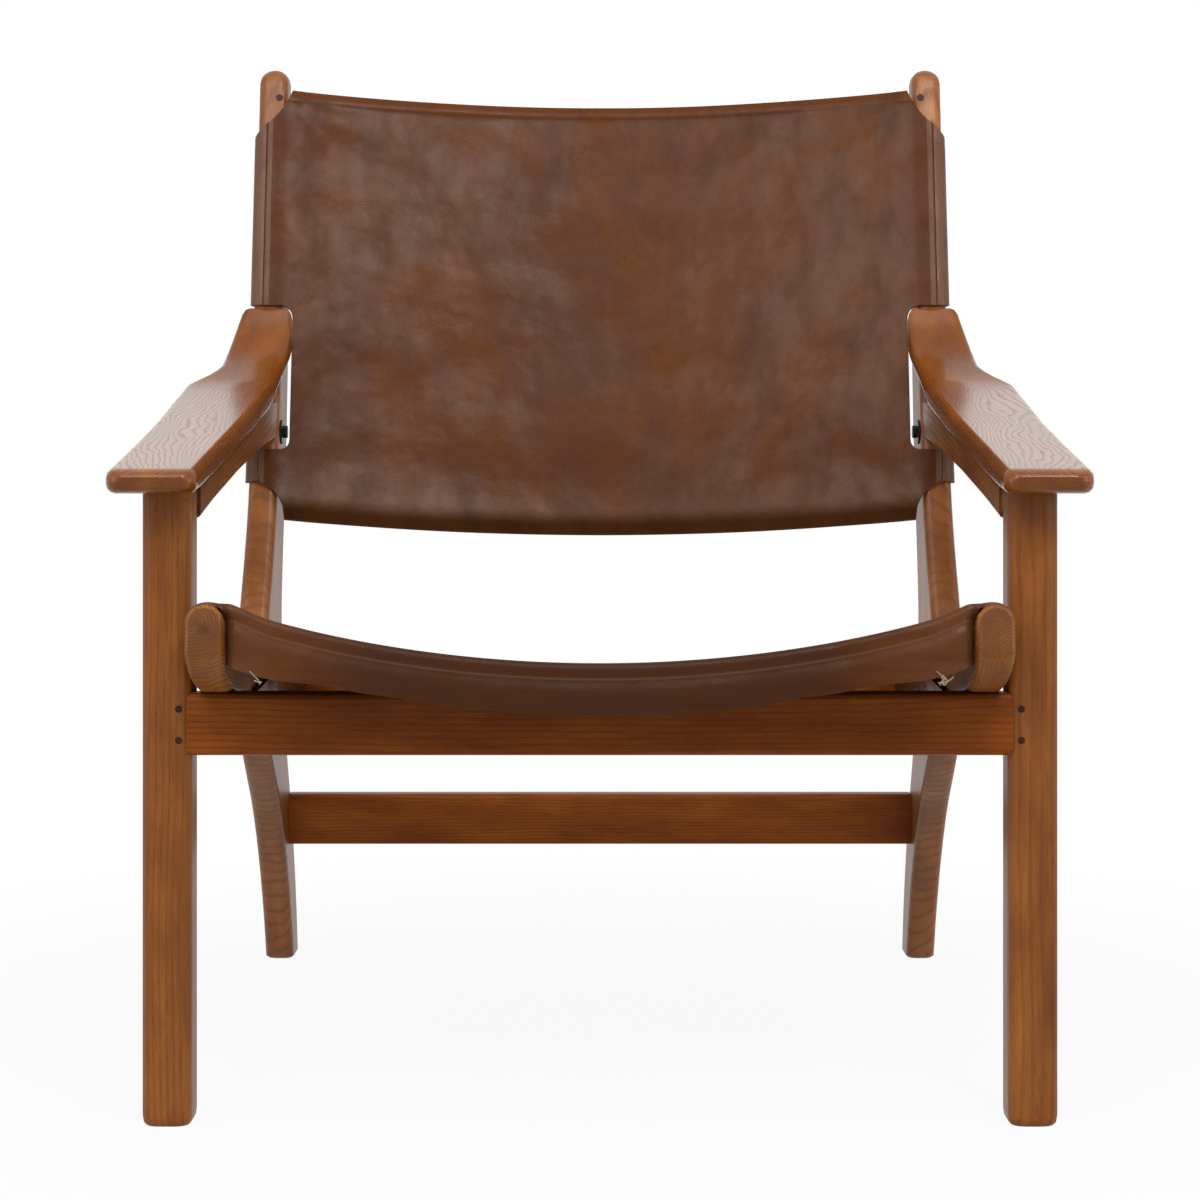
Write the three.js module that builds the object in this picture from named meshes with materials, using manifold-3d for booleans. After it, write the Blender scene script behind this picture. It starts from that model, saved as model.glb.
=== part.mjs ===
// A lounge chair: a fixed hardwood frame that carries a thick leather back and a thick leather seat.
// Millimetres, +Z up. The front faces -Y and +X is on the right of someone who looks at the chair.
// While it is built, the floor is z = 0 and the front faces of the front legs are y = 0.
import * as THREE from "three";
import { mergeVertices } from "three/addons/utils/BufferGeometryUtils.js";
import Module from "manifold-3d";

const wasm = await Module();
wasm.setup();
const degrees = THREE.MathUtils.degToRad;

// Clearances and what cuts run past a face
const fitGap = 0.3;
const leatherGap = 0.4;
const cutOverrun = 5;

// Leather
const leatherThickness = 3;
const seamInset = 9;
const flapLength = 15;

// Front legs: square posts with round arrises
const legInside = 293.6;
const legWidth = 36;
const legDepth = 40;
const legRound = 9;
const footEase = 2.5;
const legTenonRadius = 8;
const legTenonLength = 11;

// Seat rails: two bars front to back, inside the legs and the posts
const sleeveRoom = leatherThickness + 2 * leatherGap;
const seatRailOutside = legInside - sleeveRoom;
const seatRailWidth = 26.3;
const seatRailInside = seatRailOutside - seatRailWidth;
const seatRailHeight = 57;
const seatRailCrown = 12;
const seatRailRound = 6;
const seatRailReach = 63;
const noseLength = 75;
const noseRise = 24;
const seatTilt = degrees(9);
const seatSink = 1.2;

// Rear legs: one curved plank each, from the foot through the elbow to the top of the back
const plankInside = seatRailOutside + fitGap;
const plankThickness = 26.5;
const plankOutside = plankInside + plankThickness;
const plankRound = 7;
const plankCrown = 12.8;
const chairHeight = 836;
const heelReach = 684;

// The plank's edges: share of the height, then front and back edge as shares of the heel's reach
const plankShares = [
  [0, 0.934, 1],
  [0.05, 0.905, 0.984],
  [0.1, 0.868, 0.961],
  [0.15, 0.822, 0.932],
  [0.2, 0.762, 0.896],
  [0.25, 0.683, 0.856],
  [0.3, 0.636, 0.826],
  [0.35, 0.628, 0.807],
  [0.4, 0.642, 0.801],
  [0.45, 0.684, 0.812],
  [0.5, 0.722, 0.829],
  [0.54, 0.743, 0.843],
  [0.6, 0.761, 0.86],
  [0.7, 0.789, 0.88],
  [0.8, 0.817, 0.894],
  [0.9, 0.843, 0.905],
  [1, 0.868, 0.914],
];

// Front rail and rear stretcher
const railTop = 311.4;
const railHeight = 45;
const railDepth = 24.5;
const railSetback = 1.5;
const railRound = 4.5;
const railCope = 5;
const tenonLength = 22;
const tenonThickness = 12;
const tenonShoulder = 7;
const pegRadius = 2.2;
const pegLength = 31;
const pegProud = 0.4;
const stretcherTop = 161;
const stretcherHeight = 47;
const stretcherDepth = 22;
const stretcherHeelShare = 0.875;

// Arm rails: the bars under the armrests
const armRailInset = 1.5;
const armRailThickness = 22;
const armRailHeight = 25;
const armRailRise = 57;
const armRailArchShare = 0.35;
const armRailLiftShare = 0.08;
const armRailRound = 3;
const armTenonLength = 16;
const armTenonHeight = 15;

// Armrests: a paddle that narrows behind and sweeps up the front of the post
const armFoot = 453.6;
const armRise = 158.6;
const armOverhang = 33;
const armRound = 7;
const armNose = 12;
const noseTaperShare = 0.45;
const paddleWidth = 70;

// The armrest: share of its reach, underside and top as shares of its rise, inner and outer edge
// as shares of the paddle's width, from the inner face of the front leg outwards
const armShares = [
  [0, 0.006, 0.116, -0.123, 0.81],
  [0.066, 0.022, 0.144, -0.109, 0.834],
  [0.251, 0.102, 0.23, -0.094, 0.876],
  [0.493, 0.222, 0.348, -0.094, 0.935],
  [0.69, 0.331, 0.456, -0.094, 1],
  [0.79, 0.39, 0.516, -0.094, 1.018],
  [0.835, 0.426, 0.554, -0.094, 1.008],
  [0.872, 0.492, 0.605, -0.109, 0.82],
  [0.906, 0.556, 0.662, -0.13, 0.668],
  [0.938, 0.614, 0.725, -0.155, 0.628],
  [0.972, 0.68, 0.845, -0.184, 0.562],
  [1, 0.735, 1, -0.182, 0.47],
];

// Back leather: its height over the floor, its bow between the posts and its cuts
const backFoot = 421.4;
const backHead = 815.7;
const backBow = 42;
const backDrop = 12.2;
const backDropFoot = 16.2;
const cornerCut = 34;
const sleeveClear = 15;
const sleeveTuck = 3.4;
const notchGapBelow = 10;
const notchGapAbove = 2;
const notchInset = 9.6;
const notchRound = 10;
const panelShares = [0, 0.2, 0.4, 0.6, 0.78, 0.91, 1];

// Seat leather: its length along the rails, its sag and the lip turned down in front
const seatFront = 50;
const seatBackGap = 11;
const sleeveStart = 38;
const seatSag = 42.5;
const seatSagDeep = 12;
const seatPanelShares = [0, 0.2, 0.4, 0.6, 0.78, 0.91, 0.968];
const seatSagShares = [0.93, 0.07];
const seatRowShares = [0, 0.14, 0.3, 0.46, 0.62, 0.78, 0.9, 1];
// The lip, from the fold down: length of each step, then its angle below the seat's own plane
const lipSteps = [
  [3, degrees(28)],
  [4, degrees(58)],
  [9, degrees(76)],
  [9, degrees(92)],
  [12, degrees(101)],
];

// Rear cross rail between the seat rails
const crossDepth = 22;
const crossHeight = 40;
const crossRise = 7;
const crossRound = 4;
const crossGap = 10;
const crossTenonLength = 13;
const crossTenonShoulder = 8;

// Bolts, washers, nuts, screws, plugs
const boltRadius = 3;
const boltHeadRadius = 5.6;
const boltHeadHeight = 4.2;
const washerRadius = 11;
const washerThickness = 1.5;
const nutRadius = 6;
const nutHeadRadius = 8;
const nutHeadHeight = 2;
const nutLength = 13;
const armBoltDrop = 2;
const screwRadius = 2.2;
const screwHeadRadius = 4.5;
const screwHeadHeight = 3;
const screwBite = 12;
const screwShares = [0.28, 0.72];
const seatScrewBite = 24;
const plugRadius = 3;
const plugLength = 12;
const plugDrop = 27;
const plugInset = 4.5;
const hexSides = 6;
const roundSides = 20;
const cornerSteps = 3;

const woodColor = 0x8a5326;
const leatherColor = 0x5b3420;
const steelColor = 0x17171a;
const plugColor = 0x3a2113;

// The value in column k at x, on a smooth curve through rows whose first column is x
function smoothAt(rows, x, k) {
  const last = rows.length - 1;
  let i = 0;
  while (i < last - 1 && x > rows[i + 1][0]) i += 1;
  const slope = (j) => {
    const a = rows[Math.max(j - 1, 0)];
    const b = rows[Math.min(j + 1, last)];
    return (b[k] - a[k]) / (b[0] - a[0]);
  };
  const span = rows[i + 1][0] - rows[i][0];
  const t = THREE.MathUtils.clamp((x - rows[i][0]) / span, 0, 1);
  const [t2, t3] = [t * t, t * t * t];
  return (
    (2 * t3 - 3 * t2 + 1) * rows[i][k] +
    (t3 - 2 * t2 + t) * span * slope(i) +
    (3 * t2 - 2 * t3) * rows[i + 1][k] +
    (t3 - t2) * span * slope(i + 1)
  );
}

// A closed mesh as a solid for joins and cuts
function solid(geometry) {
  const bare = geometry.index ? geometry.toNonIndexed() : geometry.clone();
  bare.deleteAttribute("normal");
  bare.deleteAttribute("uv");
  const merged = mergeVertices(bare, fitGap / 300);
  return new wasm.Manifold(
    new wasm.Mesh({
      numProp: 3,
      vertProperties: merged.attributes.position.array,
      triVerts: new Uint32Array(merged.index.array),
    }),
  );
}

function meshGeometry(body) {
  const made = body.getMesh();
  const geometry = new THREE.BufferGeometry();
  geometry.setAttribute("position", new THREE.BufferAttribute(made.vertProperties, 3));
  geometry.setIndex(new THREE.BufferAttribute(made.triVerts, 1));
  geometry.computeVertexNormals();
  return geometry;
}

function join(first, ...rest) {
  return rest.reduce((body, piece) => body.add(piece), first);
}

function cut(first, ...rest) {
  return rest.reduce((body, piece) => body.subtract(piece), first);
}

// A closed skin through rings that turn left as seen from ahead, with a flat cap on both ends
function loft(rings) {
  const count = rings[0].length;
  const faces = [];
  for (let i = 0; i < rings.length - 1; i += 1) {
    for (let j = 0; j < count; j += 1) {
      const a = i * count + j;
      const b = i * count + ((j + 1) % count);
      faces.push(a, b, b + count, a, b + count, a + count);
    }
  }
  const end = (rings.length - 1) * count;
  for (let j = 1; j < count - 1; j += 1) {
    faces.push(0, j + 1, j, end, end + j, end + j + 1);
  }
  const geometry = new THREE.BufferGeometry().setFromPoints(rings.flat());
  geometry.setIndex(faces);
  return solid(geometry);
}

// Corner points of a rectangle with its own radius at each corner, turning left from the low corner
function roundedRing([u0, u1], [v0, v1], radii) {
  const corners = [
    [u0, v0, 1, 1, Math.PI],
    [u1, v0, -1, 1, 1.5 * Math.PI],
    [u1, v1, -1, -1, 0],
    [u0, v1, 1, -1, 0.5 * Math.PI],
  ];
  return corners.flatMap(([u, v, su, sv, start], k) => {
    const r = radii[k];
    return Array.from({ length: cornerSteps + 1 }, (_, i) => {
      const angle = start + (0.5 * Math.PI * i) / cornerSteps;
      return [u + su * r + r * Math.cos(angle), v + sv * r + r * Math.sin(angle)];
    });
  });
}

function evenRing(us, vs, radius) {
  return roundedRing(us, vs, [radius, radius, radius, radius]);
}

function box([x0, x1], [y0, y1], [z0, z1]) {
  const geometry = new THREE.BoxGeometry(x1 - x0, y1 - y0, z1 - z0);
  return solid(geometry.translate((x0 + x1) / 2, (y0 + y1) / 2, (z0 + z1) / 2));
}

// A rod between two values on one axis, centred on a point of the plane across that axis
function rod(axis, [from, to], [a, b], radius, sides = roundSides) {
  const geometry = new THREE.CylinderGeometry(radius, radius, to - from, sides);
  const middle = (from + to) / 2;
  if (axis === "x") return solid(geometry.rotateZ(-Math.PI / 2).translate(middle, a, b));
  if (axis === "y") return solid(geometry.translate(a, middle, b));
  return solid(geometry.rotateX(Math.PI / 2).translate(a, b, middle));
}

const plankFront = (z) => heelReach * smoothAt(plankShares, z / chairHeight, 1);
const plankBack = (z) => heelReach * smoothAt(plankShares, z / chairHeight, 2);

// Front leg, grown by a clearance when it is used to cope the rail
function frontLegBody(grow, top) {
  const ring = (z, ease) =>
    evenRing(
      [legInside + ease - grow, legInside + legWidth - ease + grow],
      [ease - grow, legDepth - ease + grow],
      legRound,
    ).map(([x, y]) => new THREE.Vector3(x, y, z));
  return loft([ring(0, footEase), ring(footEase, footEase / 4), ring(3 * footEase, 0), ring(top, 0)]);
}

// The armrest's cross-sections from front to back: place, underside, top, inner and outer edge
const armReach = armOverhang + plankFront(armFoot + armRise);
const sweepShare = armShares[6][0];
const sweepStart = armReach * sweepShare - armOverhang;

function armSection(share) {
  const at = (k) => smoothAt(armShares, share, k);
  return [
    armReach * share - armOverhang,
    armFoot + armRise * at(1),
    armFoot + armRise * at(2),
    legInside + paddleWidth * at(3),
    legInside + paddleWidth * at(4),
  ];
}

const noseShares = [0, 0.06, 0.25, 0.6, 1];
const armSections = [
  ...noseShares.map((share) => (share * armNose) / armReach),
  ...armShares.slice(1).map(([share]) => share),
]
  .flatMap((share, i, all) => {
    const fine = i > 0 && share > sweepShare;
    return fine ? [(all[i - 1] + share) / 2, share] : [share];
  })
  .map(armSection);

// The value in column k of the armrest's sections at y, with straight lines between them
function armAt(y, k) {
  const last = armSections.length - 1;
  let i = 0;
  while (i < last - 1 && y > armSections[i + 1][0]) i += 1;
  const [a, b] = [armSections[i], armSections[i + 1]];
  return THREE.MathUtils.mapLinear(y, a[0], b[0], a[k], b[k]);
}

const armUnderside = (y) => armAt(y, 1);

function armBlank() {
  const past = armSections.at(-1).map((value, k) => value + (k < 3 ? cutOverrun : 0));
  const rings = [...armSections, past].map(([y, low, high, inner, outer]) => {
    const short = Math.max(armNose - armOverhang - y, 0);
    const inset = armNose - Math.sqrt(armNose ** 2 - short ** 2);
    const taper = inset * noseTaperShare;
    const radius = Math.min(armRound, (high - low) / 2 - taper - footEase / 5);
    return evenRing([inner + inset, outer - inset], [low + taper, high - taper], radius).map(
      ([x, z]) => new THREE.Vector3(x, y, z),
    );
  });
  return loft(rings.map((ring) => ring.reverse()));
}

// A wedge behind the post's front face, that trims what is fitted against it
function behindPost(z0, z1, gap) {
  const side = [
    [plankFront(z0) - gap, z0],
    [heelReach + cutOverrun, z0],
    [heelReach + cutOverrun, z1],
    [plankFront(z1) - gap, z1],
  ];
  const wide = legInside + 2 * paddleWidth;
  return loft([0, wide].map((x) => side.map(([y, z]) => new THREE.Vector3(x, y, z))));
}

// Everything above the underside of the armrest over the front leg, kept a clearance away from it
function aboveLeg() {
  const ceiling = legTop + armThickness;
  const wide = [0, legInside + 2 * paddleWidth];
  const places = armSections.map(([y]) => y).filter((y) => y > -armOverhang && y < 4 * legDepth);
  const ring = (y) => {
    const low = armUnderside(y) - fitGap;
    const corners = [[wide[0], low], [wide[0], ceiling], [wide[1], ceiling], [wide[1], low]];
    return corners.map(([x, z]) => new THREE.Vector3(x, y, z));
  };
  return loft(places.map(ring));
}

const legTop = armUnderside(legDepth / 2);
const armThickness = armAt(legDepth, 2) - armUnderside(legDepth);
const legTenonCentre = [legInside + legWidth / 2, legDepth / 2];

function legTenon(grow) {
  const span = [legTop - cutOverrun, legTop + legTenonLength + grow];
  return rod("z", span, legTenonCentre, legTenonRadius + grow);
}

// The front rail's tenon in a leg, and its pegs from the leg's front face
const railMiddle = railSetback + railDepth / 2;

function railTenon(grow) {
  return box(
    [legInside - cutOverrun, legInside + tenonLength + grow],
    [railMiddle - tenonThickness / 2 - grow, railMiddle + tenonThickness / 2 + grow],
    [railTop - railHeight + tenonShoulder - grow, railTop - tenonShoulder + grow],
  );
}

function railPeg(k, grow) {
  const x = legInside + tenonLength * 0.4;
  const z = railTop - railHeight * (0.25 + 0.5 * k);
  return rod("y", [-pegProud - grow, pegLength - pegProud + grow], [x, z], pegRadius + grow);
}

// The arm rail: under the armrest from the leg's back face to the post's front face
const armRailSides = [legInside - armRailInset, legInside - armRailInset + armRailThickness];
const armRailMiddle = (armRailSides[0] + armRailSides[1]) / 2;
const armRailStart = armUnderside(legDepth) - armRailHeight;
const armRailEnd = plankFront(armRailStart + armRailRise);

function armRailLow(y) {
  const share = (y - legDepth) / (armRailEnd - legDepth);
  return armRailStart + armRailRise * (share + armRailArchShare * share * (1 - share));
}

function armRailTop(y) {
  const past = Math.max(y - sweepStart, 0);
  return armUnderside(Math.min(y, sweepStart)) - fitGap + armRailLiftShare * past;
}

function armRailBlank() {
  const places = armSections.map(([y]) => y).filter((y) => y > legDepth && y <= sweepStart + fitGap);
  const ring = (y) =>
    evenRing(armRailSides, [armRailLow(y), armRailTop(y)], armRailRound)
      .map(([x, z]) => new THREE.Vector3(x, y, z))
      .reverse();
  const ends = [(sweepStart + armRailEnd) / 2, armRailEnd + 3 * cutOverrun];
  return loft([legDepth + fitGap, ...places, ...ends].map(ring));
}

function armRailFrontTenon(grow) {
  const z = (armRailLow(legDepth) + armUnderside(legDepth)) / 2;
  const half = tenonThickness / 2 + grow;
  return box(
    [armRailMiddle - half, armRailMiddle + half],
    [legDepth - armTenonLength - grow, legDepth + cutOverrun],
    [z - armTenonHeight / 2 - grow, z + armTenonHeight / 2 + grow],
  );
}

const notchFoot = armRailLow(armRailEnd) - notchGapBelow;
const notchHead = armFoot + armRise + notchGapAbove;
const postTenonMiddle = armRailLow(armRailEnd) + armTenonHeight / 2;
const postTenonFace = plankFront(postTenonMiddle);

function armRailBackTenon(grow) {
  const half = tenonThickness / 2 + grow;
  return box(
    [armRailMiddle - half, armRailMiddle + half],
    [postTenonFace - 2 * cutOverrun, postTenonFace + 2 * armTenonLength + grow],
    [postTenonMiddle - armTenonHeight / 2 - grow, postTenonMiddle + armTenonHeight / 2 + grow],
  );
}

// The curved plank of a rear leg, with a rounded top and an eased foot
function plankBody(grow) {
  const ring = (z, inset) => {
    const edges = [plankFront(z) + inset - grow, plankBack(z) - inset + grow];
    const sides = [plankInside + inset - grow, plankOutside - inset + grow];
    const room = (sides[1] - sides[0]) * 0.48;
    return evenRing(sides, edges, Math.min(plankRound, room)).map(
      ([x, y]) => new THREE.Vector3(x, y, z),
    );
  };
  const rings = [ring(0, footEase), ring(footEase, 0)];
  const shoulder = chairHeight - plankCrown;
  for (let i = 1; i < plankShares.length; i += 1) {
    const [from, to] = [plankShares[i - 1][0], plankShares[i][0]];
    const heights = [(from + to) / 2, to].map((share) => share * chairHeight);
    rings.push(...heights.filter((z) => z < shoulder).map((z) => ring(z, 0)));
  }
  rings.push(ring(shoulder, 0));
  for (const angle of [25, 45, 65, 80].map(degrees)) {
    rings.push(ring(shoulder + plankCrown * Math.sin(angle), plankCrown * (1 - Math.cos(angle)) * 0.9));
  }
  return loft(rings);
}

// The rear stretcher's place and tenons, near the back edges of the planks
const stretcherBack = heelReach * stretcherHeelShare + stretcherDepth;

function stretcherTenon(grow) {
  const y = stretcherBack - stretcherDepth / 2;
  return box(
    [plankInside - cutOverrun, plankInside + plankThickness * 0.7 + grow],
    [y - tenonThickness / 2 - grow, y + tenonThickness / 2 + grow],
    [stretcherTop - stretcherHeight + tenonShoulder - grow, stretcherTop - tenonShoulder + grow],
  );
}

function crossBar([z0, z1], [y0, y1], halfLength) {
  const ring = (x) => evenRing([y0, y1], [z0, z1], railRound).map(([y, z]) => new THREE.Vector3(x, y, z));
  return loft([-halfLength, halfLength].map(ring));
}

function mirrored(body) {
  return body.mirror([1, 0, 0]);
}

function bothSides(body) {
  return [body, mirrored(body)];
}

// Through-bolts in the posts: where they stand, and their parts from the inner face outwards
const armBoltPlace = [postTenonFace + armTenonLength, postTenonMiddle - armBoltDrop];
const seatRailFoot = railTop - seatSink + railMiddle * Math.tan(seatTilt);
const seatFrame = new THREE.Matrix4().makeRotationX(-seatTilt).setPosition(0, 0, seatRailFoot);

// The seat bolt passes through the middle of the elbow and of the rail
function seatBoltCentre() {
  let [y, z] = [0, seatRailFoot];
  for (let i = 0; i < hexSides; i += 1) {
    y = (plankFront(z) + plankBack(z)) / 2;
    z = seatRailFoot + seatRailHeight / 2 - y * Math.tan(seatTilt);
  }
  return [y, z];
}

const seatBoltPlace = seatBoltCentre();

function boltSolid(place, face) {
  const tip = plankOutside - nutHeadHeight - 2 * fitGap - 1;
  return join(
    rod("x", [face - washerThickness - fitGap - boltHeadHeight, face - washerThickness - fitGap],
      place, boltHeadRadius, hexSides),
    rod("x", [face - washerThickness - 2 * fitGap, tip], place, boltRadius),
  );
}

function washerSolid(place, face) {
  const ring = rod("x", [face - washerThickness, face - fitGap / 2], place, washerRadius);
  return cut(ring, rod("x", [face - washerThickness - cutOverrun, face + cutOverrun], place, boltRadius + fitGap));
}

function nutSolid(place) {
  const end = plankOutside;
  const body = join(
    rod("x", [end - nutHeadHeight, end], place, nutHeadRadius),
    rod("x", [end - nutLength, end - nutHeadHeight / 2], place, nutRadius),
  );
  return cut(body, rod("x", [end - nutLength - cutOverrun, end - nutHeadHeight], place, boltRadius + fitGap));
}

function boltHole(place, from) {
  return join(
    rod("x", [from, plankOutside + cutOverrun], place, boltRadius + fitGap),
    rod("x", [plankOutside - nutLength - fitGap, plankOutside + cutOverrun], place, nutRadius + fitGap),
    rod("x", [plankOutside - nutHeadHeight - fitGap, plankOutside + cutOverrun], place, nutHeadRadius + fitGap),
  );
}

// A small plug in the front of each post, above the leather's cut corner
const plugHeight = chairHeight - plugDrop;

function plug(grow) {
  const face = plankFront(plugHeight);
  const x = plankInside + plugInset + plugRadius;
  return rod("y", [face - pegProud - grow, face + plugLength + grow], [x, plugHeight], plugRadius + grow);
}

// Screws that hold an armrest down on its rail, from below
function armScrew(k, grow) {
  const y = THREE.MathUtils.lerp(legDepth, sweepStart, screwShares[k]);
  const low = armRailLow(y);
  const head = [low - grow, low + screwHeadHeight + grow];
  const shank = [low + screwHeadHeight / 2, armUnderside(y) + screwBite + grow];
  return join(
    rod("z", head.map((z) => z + screwHeadHeight), [armRailMiddle, y], screwHeadRadius + grow),
    rod("z", shank, [armRailMiddle, y], screwRadius + grow),
  );
}

function armScrewHole(k) {
  const y = THREE.MathUtils.lerp(legDepth, sweepStart, screwShares[k]);
  const low = armRailLow(y);
  const access = rod("z", [low - cutOverrun, low + 2 * screwHeadHeight], [armRailMiddle, y], screwHeadRadius + fitGap);
  return join(armScrew(k, fitGap), access);
}

// Screws that hold a seat rail down on the front rail, from below
const seatScrewX = (seatRailInside + seatRailOutside) / 2;

function seatScrew(grow) {
  const low = railTop - railHeight;
  return join(
    rod("z", [low + screwHeadHeight - grow, low + 2 * screwHeadHeight + grow],
      [seatScrewX, railMiddle], screwHeadRadius + grow),
    rod("z", [low + screwHeadHeight, railTop + seatScrewBite + grow],
      [seatScrewX, railMiddle], screwRadius + grow),
  );
}

function seatScrewHole() {
  const low = railTop - railHeight;
  const access = rod("z", [low - cutOverrun, low + 2 * screwHeadHeight],
    [seatScrewX, railMiddle], screwHeadRadius + fitGap);
  return join(seatScrew(fitGap), access);
}

// Main wooden pieces, in the chair's own frame

function frontLeg() {
  const body = cut(frontLegBody(0, legTop + cutOverrun), aboveLeg());
  return cut(
    join(body, legTenon(0)),
    railTenon(fitGap),
    armRailFrontTenon(fitGap),
    railPeg(0, fitGap),
    railPeg(1, fitGap),
  );
}

function frontRail() {
  const bar = crossBar([railTop - railHeight, railTop], [railSetback, railSetback + railDepth], legInside + railCope);
  const leg = frontLegBody(fitGap, legTop);
  const coped = cut(bar, ...bothSides(leg));
  const tenoned = join(coped, ...bothSides(railTenon(0)));
  const holes = [railPeg(0, fitGap), railPeg(1, fitGap), seatScrewHole()];
  return cut(tenoned, ...holes.flatMap(bothSides));
}

function armRail() {
  const low = armRailLow(armRailEnd) - cutOverrun;
  const trim = behindPost(low, armRailTop(armRailEnd) + cutOverrun, fitGap);
  const trimmed = cut(armRailBlank(), trim);
  return cut(
    join(trimmed, armRailFrontTenon(0), armRailBackTenon(0)),
    armScrewHole(0),
    armScrewHole(1),
    rod("x", [0, plankOutside], armBoltPlace, boltRadius + fitGap),
    rod("x", [plankOutside - nutLength - fitGap, plankOutside], armBoltPlace, nutRadius + fitGap),
  );
}

function armrest() {
  const [, low, high] = armSections.at(-1);
  const trim = behindPost(low - 2 * cutOverrun, high + 2 * cutOverrun, fitGap);
  return cut(armBlank(), trim, legTenon(fitGap), armScrew(0, fitGap), armScrew(1, fitGap));
}

function rearLeg() {
  return cut(
    plankBody(0),
    stretcherTenon(fitGap),
    armRailBackTenon(fitGap),
    boltHole(armBoltPlace, plankInside - cutOverrun),
    boltHole(seatBoltPlace, plankInside - cutOverrun),
    plug(fitGap),
  );
}

function rearStretcher() {
  const bar = crossBar(
    [stretcherTop - stretcherHeight, stretcherTop],
    [stretcherBack - stretcherDepth, stretcherBack],
    plankInside - fitGap,
  );
  return join(bar, ...bothSides(stretcherTenon(0)));
}

// Seat pieces, in the tilted frame of the seat: y runs back along the rails, z up across them

function inSeatFrame(body) {
  const back = seatFrame.clone().invert();
  return body.transform(back.elements);
}

function alongSeat(edge) {
  const z = seatBoltPlace[1];
  return new THREE.Vector3(0, edge(z), z).applyMatrix4(seatFrame.clone().invert()).y;
}

const seatRailEnd = alongSeat(plankBack) - 2 * cutOverrun;
const crossFront = alongSeat(plankFront) + crossGap;
const seatBack = alongSeat(plankFront) - seatBackGap;

function crossTenon(grow) {
  return box(
    [seatRailInside - cutOverrun, seatRailInside + crossTenonLength + grow],
    [crossFront + crossTenonShoulder - grow, crossFront + crossDepth - crossTenonShoulder / 2 + grow],
    [crossRise + crossTenonShoulder - grow, crossRise + crossHeight - crossTenonShoulder + grow],
  );
}

function seatRailBlank() {
  const noseEnd = noseLength - seatRailReach;
  const low = (y) => {
    const share = THREE.MathUtils.clamp((noseEnd - y) / noseLength, 0, 1);
    return noseRise * (1 - Math.sqrt(1 - share ** 2));
  };
  const ring = (y, inset) => {
    const radii = [seatRailRound, seatRailRound, seatRailCrown, seatRailCrown].map((radius) => radius - inset);
    return roundedRing(
      [seatRailInside + inset, seatRailOutside - inset],
      [Math.min(low(y) + inset, noseRise), seatRailHeight - inset],
      radii,
    )
      .map(([x, z]) => new THREE.Vector3(x, y, z))
      .reverse();
  };
  const noseShares = [0.04, 0.12, 0.24, 0.4, 0.6, 0.8, 1];
  const rings = [ring(-seatRailReach, footEase)];
  for (const share of noseShares) rings.push(ring(-seatRailReach + noseLength * share, 0));
  rings.push(ring(seatRailEnd - footEase, 0), ring(seatRailEnd, footEase));
  return loft(rings);
}

function seatRail() {
  const seat = box(
    [0, legInside],
    [railSetback - fitGap, railSetback + railDepth + fitGap],
    [railTop - railHeight, railTop + fitGap],
  );
  const bolt = rod("x", [0, plankOutside], seatBoltPlace, boltRadius + fitGap);
  return cut(
    seatRailBlank(),
    inSeatFrame(seat),
    inSeatFrame(bolt),
    inSeatFrame(seatScrew(fitGap)),
    crossTenon(fitGap),
  );
}

function seatCrossRail() {
  const bar = loft(
    [-1, 1].map((side) =>
      evenRing([crossFront, crossFront + crossDepth], [crossRise, crossRise + crossHeight], crossRound).map(
        ([y, z]) => new THREE.Vector3(side * (seatRailInside - fitGap), y, z),
      ),
    ),
  );
  return join(bar, ...bothSides(crossTenon(0)));
}

// Leather is a grid of points on its middle surface, given its thickness and closed at its edges

function bisector(before, here, after) {
  const a = before ? here.clone().sub(before).normalize() : after.clone().sub(here).normalize();
  const b = after ? after.clone().sub(here).normalize() : a.clone();
  const sum = a.add(b);
  return { along: sum.clone().normalize(), widen: 2 / Math.max(sum.length(), 1) };
}

function leatherSheet(grid, present) {
  const [rows, columns] = [grid.length, grid[0].length];
  const sides = [-leatherThickness / 2, leatherThickness / 2].map((offset) =>
    grid.map((row, r) =>
      row.map((here, c) => {
        const across = bisector(row[c - 1], here, row[c + 1]);
        const up = bisector(grid[r - 1]?.[c], here, grid[r + 1]?.[c]);
        const normal = across.along.clone().cross(up.along).normalize();
        return here.clone().addScaledVector(normal, offset * across.widen * up.widen);
      }),
    ),
  );
  const points = sides.flat(2);
  const at = (r, c, side) => (side * rows + r) * columns + c;
  const faces = [];
  const quad = (a, b, d, e) => faces.push(a, b, d, a, d, e);
  const there = (r, c) => r >= 0 && c >= 0 && r < rows - 1 && c < columns - 1 && present(r, c);
  for (let r = 0; r < rows - 1; r += 1) {
    for (let c = 0; c < columns - 1; c += 1) {
      if (!there(r, c)) continue;
      quad(at(r, c, 1), at(r, c + 1, 1), at(r + 1, c + 1, 1), at(r + 1, c, 1));
      quad(at(r, c, 0), at(r + 1, c, 0), at(r + 1, c + 1, 0), at(r, c + 1, 0));
      if (!there(r - 1, c)) quad(at(r, c, 0), at(r, c + 1, 0), at(r, c + 1, 1), at(r, c, 1));
      if (!there(r + 1, c)) quad(at(r + 1, c, 0), at(r + 1, c, 1), at(r + 1, c + 1, 1), at(r + 1, c + 1, 0));
      if (!there(r, c - 1)) quad(at(r, c, 0), at(r, c, 1), at(r + 1, c, 1), at(r + 1, c, 0));
      if (!there(r, c + 1)) quad(at(r, c + 1, 0), at(r + 1, c + 1, 0), at(r + 1, c + 1, 1), at(r, c + 1, 1));
    }
  }
  const geometry = new THREE.BufferGeometry().setFromPoints(points);
  geometry.setIndex(faces);
  return solid(geometry);
}

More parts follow.
